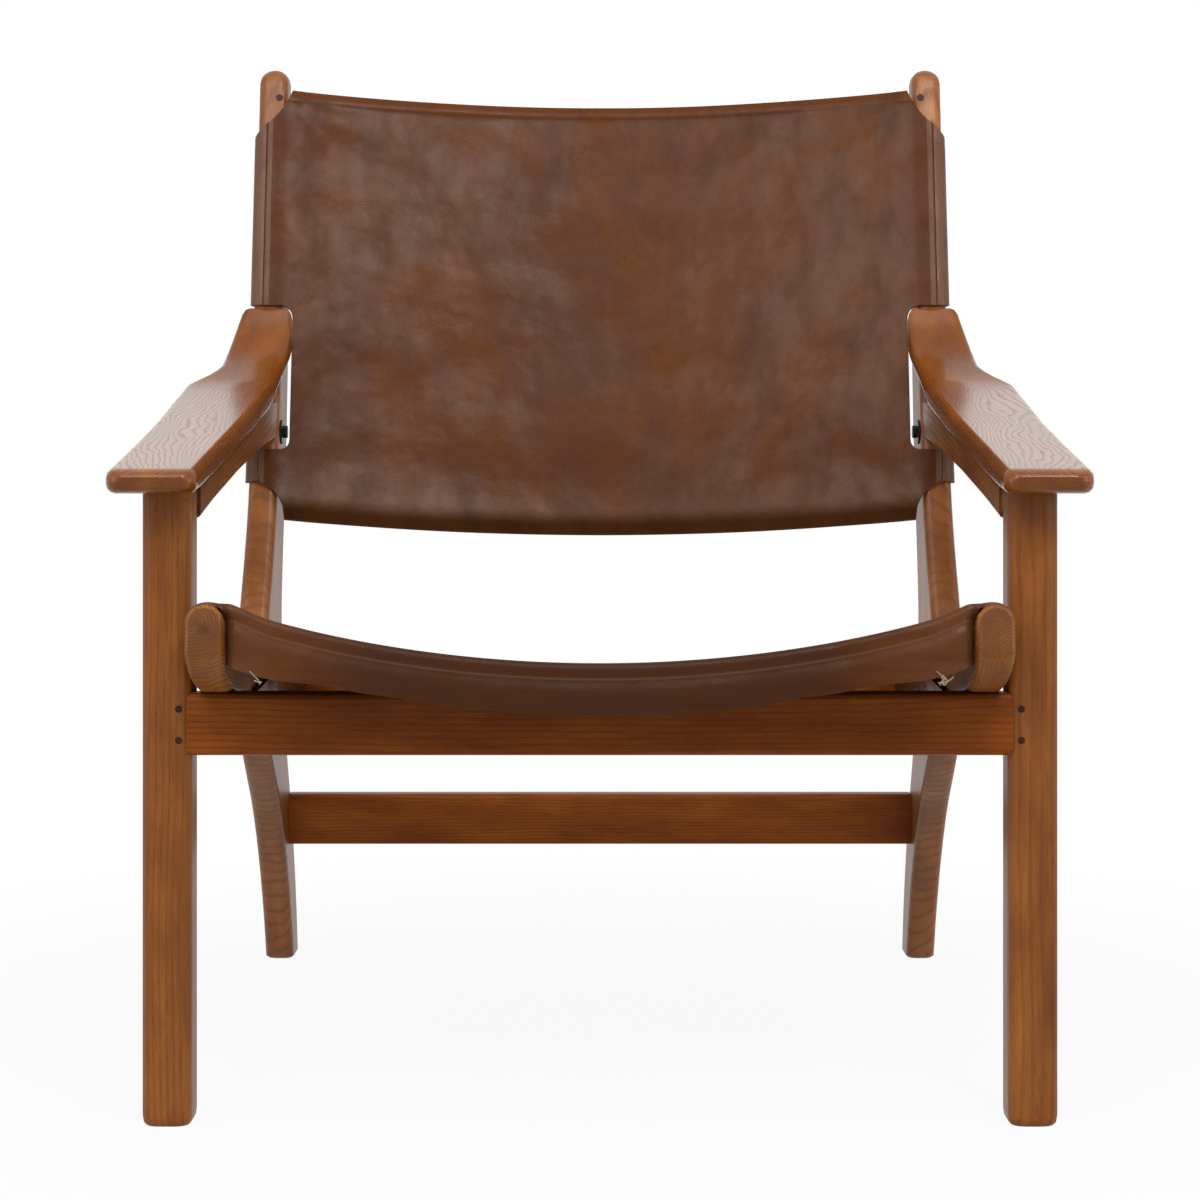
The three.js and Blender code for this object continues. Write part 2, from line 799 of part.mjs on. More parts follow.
// Points of an arc round a corner, from one angle to another
function arc([x, y], radius, from, to, steps = cornerSteps) {
  return Array.from({ length: steps + 1 }, (_, i) => {
    const angle = from + ((to - from) * i) / steps;
    return [x + radius * Math.cos(angle), y + radius * Math.sin(angle)];
  });
}

const midGap = leatherGap + leatherThickness / 2;

// One level of the back leather: from the middle out, round the post and back behind the panel
function backPath(z) {
  const front = plankFront(z) - midGap;
  const back = plankBack(z);
  const bow = (x) => backBow * (1 - Math.min(x / plankInside, 1) ** 2);
  const behind = leatherThickness + fitGap;
  const radius = plankRound + midGap;
  const seam = [plankInside - seamInset, front + bow(plankInside - seamInset) + behind];
  const end = [seam[0] - flapLength, front + bow(seam[0] - flapLength) + behind];
  const corner = [plankInside + plankRound, back - plankRound];
  const lean = Math.atan2(corner[0] - radius - seam[0], corner[1] - seam[1]);
  const panel = panelShares.map((share) => [share * plankInside, front + bow(share * plankInside)]);
  const outer = plankOutside - plankRound;
  return {
    panel,
    wrap: [
      ...arc([outer, front + radius], radius, -Math.PI / 2, 0),
      ...arc([outer, back - plankRound], radius, 0, Math.PI / 2),
      ...arc(corner, radius, Math.PI / 2, Math.PI - lean),
      seam,
      end,
    ],
  };
}

function backSling() {
  const sleeveFoot = backFoot + cornerCut - sleeveTuck;
  const sleeveHead = backHead - cornerCut - sleeveClear;
  const middle = (notchFoot + notchHead) / 2;
  const levels = [
    backFoot,
    (backFoot + sleeveFoot) / 2,
    sleeveFoot,
    (sleeveFoot + notchFoot) / 2,
    notchFoot,
    middle,
    notchHead,
    (2 * notchHead + sleeveHead) / 3,
    (notchHead + 2 * sleeveHead) / 3,
    sleeveHead,
    (sleeveHead + backHead) / 2,
    backHead,
  ];
  const panelCells = panelShares.length - 1;
  const grid = levels.map((z) => {
    const { panel, wrap } = backPath(z);
    const deepest = THREE.MathUtils.mapLinear(z, backFoot, backHead, backDropFoot, backDrop);
    const drop = (x) => deepest * (1 - Math.min(x / plankInside, 1) ** 2);
    const half = [...panel, ...wrap].map(([x, y]) => new THREE.Vector3(x, y, z - drop(x)));
    const other = half.slice(1).map((p) => new THREE.Vector3(-p.x, p.y, p.z)).reverse();
    return [...other, ...half];
  });
  const centre = (grid[0].length - 1) / 2;
  const frontCells = panelCells + cornerSteps;
  const sheet = leatherSheet(grid, (r, c) => {
    const out = c >= centre ? c - centre : centre - 1 - c;
    const sleeved = levels[r] >= sleeveFoot && levels[r + 1] <= sleeveHead;
    return sleeved || out < frontCells;
  });
  return cut(sheet, ...[notch(), cornerDisc(backHead), cornerDisc(backFoot)].flatMap(bothSides));
}

function cornerDisc(z) {
  return rod("y", [0, 2 * heelReach], [plankOutside, z], cornerCut, 2 * roundSides);
}

function notch() {
  const far = plankOutside + 2 * cutOverrun;
  const ring = (y) =>
    roundedRing([plankInside - notchInset, far], [notchFoot, notchHead], [notchRound, 1, 1, notchRound])
      .map(([x, z]) => new THREE.Vector3(x, y, z))
      .reverse();
  return loft([ring(0), ring(2 * heelReach)]);
}

// One station of the seat leather: from the middle out, over the rail and back under the panel
function seatPath(sag) {
  const radius = seatRailCrown + midGap;
  const low = seatRailRound + midGap;
  const slope = Math.atan(((2 * seatSagShares[0] + 6 * seatSagShares[1]) * sag) / seatRailInside);
  const crownCentre = [seatRailInside + seatRailCrown, seatRailHeight - seatRailCrown];
  const edge = arc(crownCentre, radius, Math.PI / 2 + slope, Math.PI / 2);
  const [edgeX, edgeZ] = edge[0];
  const height = (x) => {
    const share = x / edgeX;
    return edgeZ - sag * (1 - seatSagShares[0] * share ** 2 - seatSagShares[1] * share ** 6);
  };
  const behind = leatherThickness + fitGap;
  const seamX = seatRailInside - seamInset;
  const seam = [seamX, height(seamX) - behind];
  const end = [seamX - flapLength, height(seamX - flapLength) - behind];
  const corner = [seatRailInside + seatRailRound, seatRailRound];
  const lean = Math.atan2(corner[0] - low - seam[0], seam[1] - corner[1]);
  return {
    panel: seatPanelShares.map((share) => [share * edgeX, height(share * edgeX)]),
    top: [...edge, ...arc([seatRailOutside - seatRailCrown, crownCentre[1]], radius, Math.PI / 2, 0)],
    wrap: [
      [seatRailOutside + midGap, seatRailHeight * 0.4],
      ...arc([seatRailOutside - seatRailRound, seatRailRound], low, 0, -Math.PI / 2),
      ...arc(corner, low, -Math.PI / 2, -Math.PI + lean),
      seam,
      end,
    ],
  };
}

function seatSling() {
  const length = seatBack + seatFront;
  const stations = [0, (seatFront + sleeveStart) / length];
  for (const share of seatRowShares.slice(2)) stations.push(share);
  const rows = stations.map((share) => {
    const deep = seatSagDeep * Math.sin(Math.PI * share);
    const { panel, top, wrap } = seatPath(seatSag + deep);
    const y = -seatFront + length * share;
    return [...panel, ...top, ...wrap].map(([x, z]) => new THREE.Vector3(x, y, z));
  });
  const lip = [];
  let [dy, dz] = [0, 0];
  for (const [step, angle] of lipSteps) {
    dy -= step * Math.cos(angle);
    dz -= step * Math.sin(angle);
    const [y, z] = [dy, dz];
    lip.unshift(rows[0].map((p) => new THREE.Vector3(p.x, p.y + y, p.z + z)));
  }
  const lipRows = lip.length;
  const grid = [...lip, ...rows].map((half) => {
    const other = half.slice(1).map((p) => new THREE.Vector3(-p.x, p.y, p.z)).reverse();
    return [...other, ...half];
  });
  const centre = (grid[0].length - 1) / 2;
  const panelCells = seatPanelShares.length - 1;
  const topCells = panelCells + 2 * cornerSteps + 3;
  return leatherSheet(grid, (r, c) => {
    const out = c >= centre ? c - centre : centre - 1 - c;
    if (r < lipRows) return out < panelCells;
    if (r === lipRows) return out < topCells;
    return true;
  });
}

// The chair: every piece is its own mesh, and the far side's pieces are mirrored

const wood = { color: woodColor, roughness: 0.5, metalness: 0 };
const leather = { color: leatherColor, roughness: 0.38, metalness: 0 };
const steel = { color: steelColor, roughness: 0.45, metalness: 0.8 };
const darkWood = { color: plugColor, roughness: 0.6, metalness: 0 };

function piece(name, body, finish) {
  const mesh = new THREE.Mesh(meshGeometry(body), new THREE.MeshStandardMaterial(finish));
  mesh.name = name;
  return mesh;
}

const chair = new THREE.Group();
const seat = new THREE.Group();
seat.applyMatrix4(seatFrame);
chair.add(seat);

function addPair(group, name, body, finish) {
  const right = piece(name + "_right", body, finish);
  const left = piece(name + "_left", body, finish);
  left.scale.x = -1;
  group.add(right, left);
}

addPair(chair, "front_leg", frontLeg(), wood);
addPair(chair, "rear_leg", rearLeg(), wood);
addPair(chair, "armrest", armrest(), wood);
addPair(chair, "arm_rail", armRail(), wood);
addPair(seat, "seat_rail", seatRail(), wood);
chair.add(piece("front_rail", frontRail(), wood));
chair.add(piece("rear_stretcher", rearStretcher(), wood));
seat.add(piece("seat_cross_rail", seatCrossRail(), wood));
chair.add(piece("back_sling", backSling(), leather));
seat.add(piece("seat_sling", seatSling(), leather));
for (const k of [0, 1]) {
  addPair(chair, "front_peg_" + (k + 1), railPeg(k, 0), darkWood);
  addPair(chair, "arm_screw_" + (k + 1), armScrew(k, 0), steel);
}
addPair(chair, "post_plug", plug(0), darkWood);
addPair(chair, "seat_screw", seatScrew(0), steel);
addPair(chair, "arm_bolt", boltSolid(armBoltPlace, plankInside), steel);
addPair(chair, "arm_washer", washerSolid(armBoltPlace, plankInside), steel);
addPair(chair, "arm_nut", nutSolid(armBoltPlace), steel);
addPair(chair, "seat_bolt", boltSolid(seatBoltPlace, seatRailInside), steel);
addPair(chair, "seat_washer", washerSolid(seatBoltPlace, seatRailInside), steel);
addPair(chair, "seat_nut", nutSolid(seatBoltPlace), steel);

// The finished chair stands on the middle of its footprint
const extent = new THREE.Box3().setFromObject(chair);
chair.position.y = -(extent.min.y + extent.max.y) / 2;

export default chair;
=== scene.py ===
"""A leather sling lounge chair: its wood, its leather, its hardware and the studio round it."""

import math

import bmesh
import bpy
import numpy as np
from bpy.props import FloatProperty, FloatVectorProperty, PointerProperty
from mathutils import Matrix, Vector
from mathutils.geometry import delaunay_2d_cdt


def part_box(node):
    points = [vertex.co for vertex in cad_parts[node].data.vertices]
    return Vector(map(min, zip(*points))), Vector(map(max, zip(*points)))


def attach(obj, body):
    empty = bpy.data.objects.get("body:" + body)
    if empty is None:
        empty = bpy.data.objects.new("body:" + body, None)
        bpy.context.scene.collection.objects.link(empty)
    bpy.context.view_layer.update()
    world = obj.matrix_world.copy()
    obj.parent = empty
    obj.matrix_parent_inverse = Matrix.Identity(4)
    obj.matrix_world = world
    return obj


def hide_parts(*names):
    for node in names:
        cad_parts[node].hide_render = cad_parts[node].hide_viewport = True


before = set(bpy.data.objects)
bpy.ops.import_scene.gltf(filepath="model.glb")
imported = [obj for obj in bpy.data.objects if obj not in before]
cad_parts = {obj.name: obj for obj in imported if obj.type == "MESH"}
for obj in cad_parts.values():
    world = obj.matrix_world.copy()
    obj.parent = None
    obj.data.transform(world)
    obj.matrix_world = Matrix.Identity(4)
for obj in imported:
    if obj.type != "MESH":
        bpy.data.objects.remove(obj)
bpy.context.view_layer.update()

bl_info = {
    "name": "Leather Sling Lounge Chair",
    "version": (1, 0, 0),
    "blender": (4, 5, 0),
    "location": "View3D > Sidebar > Chair",
    "description": "Builds the wood, leather, stitching and hardware of a sling lounge chair",
    "category": "Object",
}

MM = 0.001
FRAME_MM = {node: [[value / MM for value in corner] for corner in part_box(node)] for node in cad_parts}

# The front faces of the front legs: the chair's own sections are drawn from there
LEG_FACE = FRAME_MM["front_leg_right"][0][1]

# The posts: height, front edge and back edge, as shares of their height and reach
POST_SHARES = [
    (0, 0.934, 1),
    (0.05, 0.905, 0.984),
    (0.1, 0.868, 0.961),
    (0.15, 0.822, 0.932),
    (0.2, 0.762, 0.896),
    (0.25, 0.683, 0.856),
    (0.3, 0.636, 0.826),
    (0.35, 0.628, 0.807),
    (0.4, 0.642, 0.801),
    (0.45, 0.684, 0.812),
    (0.5, 0.722, 0.829),
    (0.54, 0.743, 0.843),
    (0.6, 0.761, 0.86),
    (0.7, 0.789, 0.88),
    (0.8, 0.817, 0.894),
    (0.9, 0.843, 0.905),
    (1, 0.868, 0.914),
]
POST_HEIGHT = FRAME_MM["rear_leg_right"][1][2]
POST_REACH = FRAME_MM["rear_leg_right"][1][1] - LEG_FACE
POST_INSIDE = FRAME_MM["rear_leg_right"][0][0]
POST_OUTSIDE = FRAME_MM["rear_leg_right"][1][0]
POST_ROUND = 7

# Where the flat front of a post ends, across the chair
POST_EDGE = POST_OUTSIDE - POST_ROUND

# The leather: its thickness, how far its middle lies off the wood, the air under a flap, the flap's width and
# how far inboard of the wood the seam lies
LEATHER = 3.0
MID_GAP = 1.9
FLAP_AIR = 0.3
FLAP = 15
SEAM = 9

# The back sling: its edges' heights, its bow, how far the middle of its lower and upper edge hangs, its lower
# corners' cut, its sleeves' ends and the notches for the arms
BACK_FOOT = 421.4
BACK_HEAD = FRAME_MM["back_sling"][1][2]
BACK_BOW = 42
BACK_DROPS = (16.2, 12.2)
CORNER = 34
SLEEVE_FOOT = 452.5
SLEEVE_HEAD = 766.2
NOTCH = (482.9, 614.2)
NOTCH_EDGE = 280.5
NOTCH_ROUND = 10

# The back's wrap, along the flat sheet: the post's front arris, its outside, its back arris, its back, its
# inner arris and the way to the seam
BACK_WRAP = (14, 40, 14, 12.5, 12, 40)
BACK_END = POST_EDGE + sum(BACK_WRAP) + FLAP

# The lapped edge over each post, on the flat sheet: its start, its ridge, the stitches and its end, then the
# stitches' upper end, how far they lie in front of the plain leather, and the mesh's columns across the edge
LAP_START = 296
LAP_RIDGE = 304.2
LAP_STITCHES = 303.4
LAP_END = 307.1
STITCH_HEAD = 778
STITCH_PROUD = 0.55
LAP_COLUMNS = (296, 299, 301, 302.4, 303.4, 304.4, 305.6, 306.6, 306.9, 307.1, 307.3, 307.7, 308.6)

# The seat rails: their faces, upper and lower arrises and height, and where the line of their underside meets
# the front of the legs
RAIL_INSIDE, RAIL_OUTSIDE = (FRAME_MM["seat_rail_right"][side][0] for side in (0, 1))
RAIL_CROWN = 12
RAIL_ROUND = 6
RAIL_HEIGHT = 57
RAIL_FOOT = 312.38

# The seat sling, in the rails' own frame, where y runs back along them from the front of the legs and z up:
# its front fold and back edge, its sag at the ends and what the middle adds, where its sleeves start, and the
# depth of the turned-down edge, the bend at its ends and where that bend begins
SEAT_TILT = math.radians(9)
SEAT_FRONT = -50
SEAT_BACK = 422.7
SEAT_SAG = 42.5
SEAT_SAG_DEEP = 12
SLEEVE_START = 38
LIP_DEPTH = 37.5
LIP_TURN = 8
LIP_END = RAIL_INSIDE - 2 - LIP_TURN

# Where the seat leaves its bow, on the flat sheet, and its wrap from there: the slope to the crown, the flat,
# the outer arris, the outside, the lower arris, the underside, the inner arris and the way to the seam
SEAT_EDGE = 268
SEAT_WRAP = (6, 2.3, 22, 39, 12.4, 14.3, 11, 48)


def srgb(code):
    """The linear colour, with alpha, of a hex code."""
    values = [int(code[i : i + 2], 16) / 255 for i in (1, 3, 5)]
    linear = [v / 12.92 if v <= 0.04045 else ((v + 0.055) / 1.055) ** 2.4 for v in values]
    return (*linear, 1.0)


# Settings


def tone_setting(name, description, code):
    """A colour that a user would change."""
    linear = srgb(code)
    return FloatVectorProperty(name=name, description=description, subtype="COLOR", size=4, default=linear)


def size_setting(name, description, metres):
    """A size that a user would change."""
    return FloatProperty(name=name, description=description, default=metres, unit="LENGTH")


class ChairWood(bpy.types.PropertyGroup):
    """Tones of the oiled hardwood."""

    light: tone_setting("Light", "Early wood", "#985b24")
    middle: tone_setting("Middle", "Most of the wood", "#80481a")
    dark: tone_setting("Dark", "Darker bands", "#6a3812")
    line: tone_setting("Lines", "Late wood, pores and pinholes", "#3c1c08")


class ChairLeather(bpy.types.PropertyGroup):
    """Sizes and tones of the two slings."""

    cell: size_setting("Mesh cell", "Spacing of the leather's points", 0.008)
    ridge: size_setting("Lap", "Height of the lapped edge over the post", 0.0015)
    hem: size_setting("Hem", "Width of the rolled hem", 0.009)
    warm: tone_setting("Warm tone", "Leather where the dye shows", "#603613")
    # The cool tone is partly painted sheen: its greyer clouds stand for wax catching light, as well as a haze
    # of wax
    haze_and_sheen: tone_setting("Cool tone", "Leather under a haze of wax", "#563320")
    deep: FloatVectorProperty(
        name="Depth",
        description="What wax leaves of the tone where it gathers",
        size=4,
        default=(0.58, 0.5, 0.45, 1),
    )


class ChairStitches(bpy.types.PropertyGroup):
    """The stitches of the sleeves."""

    pitch: size_setting("Pitch", "Distance between stitches", 0.0048)
    length: size_setting("Length", "Length of a stitch", 0.0034)
    radius: size_setting("Thread radius", "Half the thread's width", 0.00045)


class ChairStage(bpy.types.PropertyGroup):
    """The studio."""

    distance: size_setting("Camera distance", "From the front legs", 2.0)
    height: size_setting("Camera height", "Over the floor", 0.5004)
    focal: FloatProperty(name="Focal length", description="Of the camera, in millimetres", default=83.64)
    sheet: size_setting("Floor", "Half the floor's width", 6.0)


# Nodes


def add(tree, kind, inputs=None, stops=(), **settings):
    """A new node with its settings, its ramp's stops and its inputs, given as values, sockets or nodes."""
    node = tree.nodes.new(kind)
    for name, value in settings.items():
        setattr(node, name, value)
    for name, value in (inputs or {}).items():
        socket = node.inputs[name] if isinstance(name, int) else open_socket(node.inputs, name)
        if isinstance(value, bpy.types.Node):
            value = open_socket(value.outputs)
        if isinstance(value, bpy.types.NodeSocket):
            tree.links.new(value, socket)
        else:
            socket.default_value = value
    for index, (place, colour) in enumerate(stops):
        elements = node.color_ramp.elements
        element = elements[index] if index < 2 else elements.new(place)
        element.position = place
        element.color = colour if isinstance(colour, tuple) else (colour, colour, colour, 1)
    return node


def open_socket(sockets, name=None):
    """The first socket in use, of the given name if there is one."""
    return next(socket for socket in sockets if socket.enabled and name in (None, socket.name))


def new_material(name):
    """A material with a principled shader, its node tree and that shader."""
    material = bpy.data.materials.new(name)
    material.use_nodes = True
    tree = material.node_tree
    tree.nodes.clear()
    shader = add(tree, "ShaderNodeBsdfPrincipled")
    add(tree, "ShaderNodeOutputMaterial", {"Surface": shader})
    return material, tree, shader


def finish(tree, shader, body, rough, bump):
    """Gives the shader its tone, its roughness and its relief."""
    for node, name in ((body, "Base Color"), (rough, "Roughness"), (bump, "Normal")):
        tree.links.new(open_socket(node.outputs), shader.inputs[name])


# How the rings of a plain board wander: sideways by the last, over so far across and so far along the grain
PLAIN_BEND = (0.07, 0.28, 0.014)


def wood(
    name, tones, pith, turn, bend=PLAIN_BEND, ring=0.003, figure=0.45, gloss=0.4, shine=0.2, coat=0, knots=()
):
    """Oiled hardwood, sawn and sanded by hand.

    Growth rings run round the pith, with soft streaks and open pores along the grain. The end grain drinks
    more of the stain and goes darker, and the oil leaves a low sheen. A ring's width is in metres, and figure
    says how dark its late wood is.
    """
    material, tree, shader = new_material(name)
    shader.inputs["Specular IOR Level"].default_value = shine
    # A film of wax, which bends light less than varnish
    shader.inputs["Coat Weight"].default_value = coat
    shader.inputs["Coat Roughness"].default_value = 0.2
    shader.inputs["Coat IOR"].default_value = 1.3
    own = add(tree, "ShaderNodeTexCoord")
    spot = own.outputs["Object"]
    where = {"Vector": spot, "Location": pith, "Rotation": turn}
    grain = add(tree, "ShaderNodeMapping", where, vector_type="TEXTURE")

    # Noises drawn out along the grain: width and length of their spots, detail and roughness. Streaks and
    # pores are drawn coarser than real ones, so that they show.
    across, along, shift = bend
    noises = []
    for wide, long, detail, roughness in (
        (across, along, 3.0, 0.45),
        (0.0016, 0.06, 3.0, 0.6),
        (0.0007, 0.014, 1.0, 0.5),
        (0.03, 0.12, 4.0, 0.55),
    ):
        at = add(tree, "ShaderNodeMapping", {"Vector": grain, "Scale": (1 / wide, 1 / wide, 1 / long)})
        look = {"Vector": at, "Scale": 1.0, "Detail": detail, "Roughness": roughness}
        noises.append(add(tree, "ShaderNodeTexNoise", look))
    wander, streak, pore, cloud = noises

    bent = {0: wander.outputs["Color"], 1: (shift, shift, 0.0), 2: grain}
    bent = add(tree, "ShaderNodeVectorMath", bent, operation="MULTIPLY_ADD")
    # A wave has 20 / (2 pi) rings to each unit of its scaled vector
    scale = 2 * math.pi / 20 / ring
    rings = {"Vector": bent, "Scale": scale, "Distortion": 0.35, "Detail": 2.0, "Detail Scale": 3.0}
    style = {"wave_type": "RINGS", "rings_direction": "Z", "wave_profile": "SAW"}
    rings = add(tree, "ShaderNodeTexWave", rings, **style)
    stops = [(0.0, 0.0), (0.55, 0.12), (0.8, 1.0), (0.92, 0.9), (1.0, 0.0)]
    late = add(tree, "ShaderNodeValToRGB", {"Fac": rings}, stops)

    # What lies over the body tone, each a share and a tone: late wood, streaks, pores and a few pinholes
    dark, middle, light, deep = tones
    pinhole = add(tree, "ShaderNodeTexVoronoi", {"Vector": spot, "Scale": 1 / 0.016}, feature="F1")
    shares = []
    for value, least, full, most in (
        (cloud, 0.2, 0.55, figure),
        (streak, 0.45, 0.75, 0.35),
        (pore, 0.4, 0.3, 0.3),
        (pinhole, 0.075, 0.045, 1.0),
        (cloud, 0.6, 0.66, 1.0),
    ):
        share = {"Value": value, "From Min": least, "From Max": full, "To Max": most}
        shares.append(add(tree, "ShaderNodeMapRange", share))
    uneven, soft, open_pore, hole, pale = shares
    lined = add(tree, "ShaderNodeMath", {0: late, 1: uneven}, operation="MULTIPLY")
    hole = add(tree, "ShaderNodeMath", {0: hole, 1: pale}, operation="MULTIPLY")
    layers = [(lined, deep), (soft, light), (open_pore, deep), (hole, deep)]

    for centre, radius in knots:
        ragged = add(tree, "ShaderNodeTexNoise", {"Vector": spot, "Scale": 1 / radius, "Detail": 3.0})
        far = add(tree, "ShaderNodeVectorMath", {0: spot, 1: centre}, operation="DISTANCE").outputs["Value"]
        near = add(tree, "ShaderNodeMapRange", {"Value": far, "From Min": radius * 1.5, "From Max": 0.0})
        blot = add(tree, "ShaderNodeMath", {0: near, 1: ragged}, operation="MULTIPLY")
        blot = {"Value": blot, "From Min": 0.2, "From Max": 0.42, "To Max": 0.85}
        layers.append((add(tree, "ShaderNodeMapRange", blot), deep))

    facing = {"Vector": own.outputs["Normal"], "Rotation": turn}
    facing = add(tree, "ShaderNodeMapping", facing, vector_type="TEXTURE")
    facing = add(tree, "ShaderNodeSeparateXYZ", {"Vector": facing})
    ends = add(tree, "ShaderNodeMath", {0: facing.outputs["Z"]}, operation="ABSOLUTE")
    ends = add(tree, "ShaderNodeMapRange", {"Value": ends, "From Min": 0.8, "From Max": 1.0, "To Max": 0.55})
    layers.append((ends, deep))

    body = add(tree, "ShaderNodeValToRGB", {"Fac": cloud}, [(0.32, dark), (0.5, middle), (0.7, light)])
    for share, over in layers:
        body = add(tree, "ShaderNodeMix", {"Factor": share, "A": body, "B": over}, data_type="RGBA")
    rough = add(tree, "ShaderNodeMapRange", {"Value": lined, "To Min": gloss - 0.04, "To Max": gloss + 0.2})
    relief = add(tree, "ShaderNodeMath", {0: open_pore, 1: late}, operation="ADD")
    bump = add(tree, "ShaderNodeBump", {"Height": relief, "Strength": 0.2, "Distance": 0.0002}, invert=True)
    finish(tree, shader, body, rough, bump)
    return material


def strip(tree, place, centre, half, edge, strength):
    """How far a mark covers the flat sheet: a strip either side of a centre, in mm, with a soft edge."""
    away = add(tree, "ShaderNodeMath", {0: place, 1: centre * MM}, operation="SUBTRACT")
    away = add(tree, "ShaderNodeMath", {0: away}, operation="ABSOLUTE")
    cover = {"Value": away, "From Min": (half + edge) * MM, "From Max": half * MM, "To Max": strength}
    return add(tree, "ShaderNodeMapRange", cover, interpolation_type="SMOOTHSTEP")


def leather(name, tones, marks, smudge_size, matt, shine=0.1, gloss=0.26):
    """Vegetable-tanned leather, dyed and waxed by hand.

    The wax lies in clouds of warmer and cooler brown, and the grain is a fine pebble; the cooler clouds are
    partly painted sheen. Each mark is a strip of the flat sheet, beside a seam or along a hem, where the tone
    changes, and most marks are painted shade or painted highlight where the leather bends. One strip is
    unwaxed, so it is matt.
    """
    material, tree, shader = new_material(name)
    spot = add(tree, "ShaderNodeTexCoord").outputs["Object"]
    flat = add(tree, "ShaderNodeSeparateXYZ", {"Vector": add(tree, "ShaderNodeUVMap", uv_map="Flat")})
    across = add(tree, "ShaderNodeMath", {0: flat.outputs["X"]}, operation="ABSOLUTE").outputs[0]
    places = {"X": across, "Y": flat.outputs["Y"]}

    # Noises: where they start, the sizes of their spots, detail, roughness and distortion. They are clouds of
    # 90 mm, a little longer downwards, smudges of the given size, flecks of 3.5 mm and creases 60 mm apart.
    noises = []
    for place, sizes, detail, rough, twist in (
        ((3.1, 0.4, 1.7), (0.075, 0.09, 0.12), 4.0, 0.6, 0.5),
        ((0.7, 2.2, 0.3), smudge_size, 5.0, 0.62, 0.0),
        ((0, 0, 0), (0.0035, 0.0035, 0.0035), 3.0, 0.6, 0.0),
        ((0, 0, 0), (0.06, 0.06, 0.06), 3.0, 0.35, 0.0),
    ):
        scale = tuple(1 / size for size in sizes)
        at = add(tree, "ShaderNodeMapping", {"Vector": spot, "Location": place, "Scale": scale})
        look = {"Vector": at, "Scale": 1.0, "Detail": detail, "Roughness": rough, "Distortion": twist}
        noises.append(add(tree, "ShaderNodeTexNoise", look))
    cloud, smudge, fleck, crease = noises
    # The real pebble is finer, and is drawn 1.4 mm wide so that it shows
    pebble = add(tree, "ShaderNodeTexVoronoi", {"Vector": spot, "Scale": 1 / 0.0014}, feature="F1")

    warm, haze_and_sheen, deep = tones
    # Clouds of the cool tone: a haze of wax and painted sheen
    blend = add(tree, "ShaderNodeMapRange", {"Value": cloud, "From Min": 0.36, "From Max": 0.62})
    body = add(tree, "ShaderNodeMix", {"Factor": blend, "A": warm, "B": haze_and_sheen}, data_type="RGBA")
    # Each strip lays its tone over the body; most are painted shade, painted sheen or a painted highlight
    # along a bend
    for axis, centre, half, edge, code, strength in marks:
        cover = strip(tree, places[axis], centre, half, edge, strength)
        body = add(tree, "ShaderNodeMix", {"Factor": cover, "A": body, "B": srgb(code)}, data_type="RGBA")
    for noise, low, high, most in ((smudge, 0.46, 0.72, 0.6), (fleck, 0.5, 0.75, 0.3)):
        share = {"Value": noise, "From Min": low, "From Max": high, "To Max": most}
        share = add(tree, "ShaderNodeMapRange", share)
        waxed = {"Factor": share, "A": body, "B": deep}
        body = add(tree, "ShaderNodeMix", waxed, data_type="RGBA", blend_type="MULTIPLY")

    bare = strip(tree, places["Y"], *matt, 1.0)
    waxed = add(tree, "ShaderNodeMapRange", {"Value": bare, "To Min": shine, "To Max": 0.0})
    tree.links.new(waxed.outputs[0], shader.inputs["Specular IOR Level"])
    rough = {"Value": smudge, "From Min": 0.3, "From Max": 0.7, "To Min": gloss - 0.06, "To Max": gloss + 0.1}
    rough = add(tree, "ShaderNodeMapRange", rough)
    fine = add(tree, "ShaderNodeMath", {0: pebble, 1: 0.012, 2: crease}, operation="MULTIPLY_ADD")
    bump = add(tree, "ShaderNodeBump", {"Height": fine, "Strength": 0.6, "Distance": 0.008})
    finish(tree, shader, body, rough, bump)
    return material


def plain(name, code, roughness, metallic=0.0, grit=0.004, shine=0.5):
    """One even finish, whose tone and gloss vary a little over specks as wide as the grit, in metres."""
    material, tree, shader = new_material(name)
    shader.inputs["Metallic"].default_value = metallic
    shader.inputs["Specular IOR Level"].default_value = shine
    spot = add(tree, "ShaderNodeTexCoord").outputs["Object"]
    speck = add(tree, "ShaderNodeTexNoise", {"Vector": spot, "Scale": 1 / grit, "Detail": 3.0})
    base = tuple(value * 0.7 for value in srgb(code)[:3]) + (1.0,)
    body = add(tree, "ShaderNodeMix", {"Factor": speck, "A": base, "B": srgb(code)}, data_type="RGBA")
    rough = {"Value": speck, "To Min": roughness - 0.07, "To Max": roughness + 0.07}
    rough = add(tree, "ShaderNodeMapRange", rough)
    bump = add(tree, "ShaderNodeBump", {"Height": speck, "Strength": 0.2, "Distance": grit / 10})
    finish(tree, shader, body, rough, bump)
    return material


# Meshes


def smooth_rows(rows, steps=12):
    """The rows sampled on a smooth curve through them."""
    out = []
    last = len(rows) - 1
    for i in range(last):
        a, b = np.array(rows[i], float), np.array(rows[i + 1], float)
        before, after = np.array(rows[max(i - 1, 0)], float), np.array(rows[min(i + 2, last)], float)
        span = b[0] - a[0]
        slope_a = (b - before) / (b[0] - before[0])
        slope_b = (after - a) / (after[0] - a[0])
        for k in range(steps):
            t = k / steps
            t2, t3 = t * t, t * t * t
            out.append(
                (2 * t3 - 3 * t2 + 1) * a
                + (t3 - 2 * t2 + t) * span * slope_a
                + (3 * t2 - 2 * t3) * b
                + (t3 - t2) * span * slope_b
            )
    out.append(np.array(rows[-1], float))
    return np.array(out)


POST = smooth_rows(POST_SHARES)


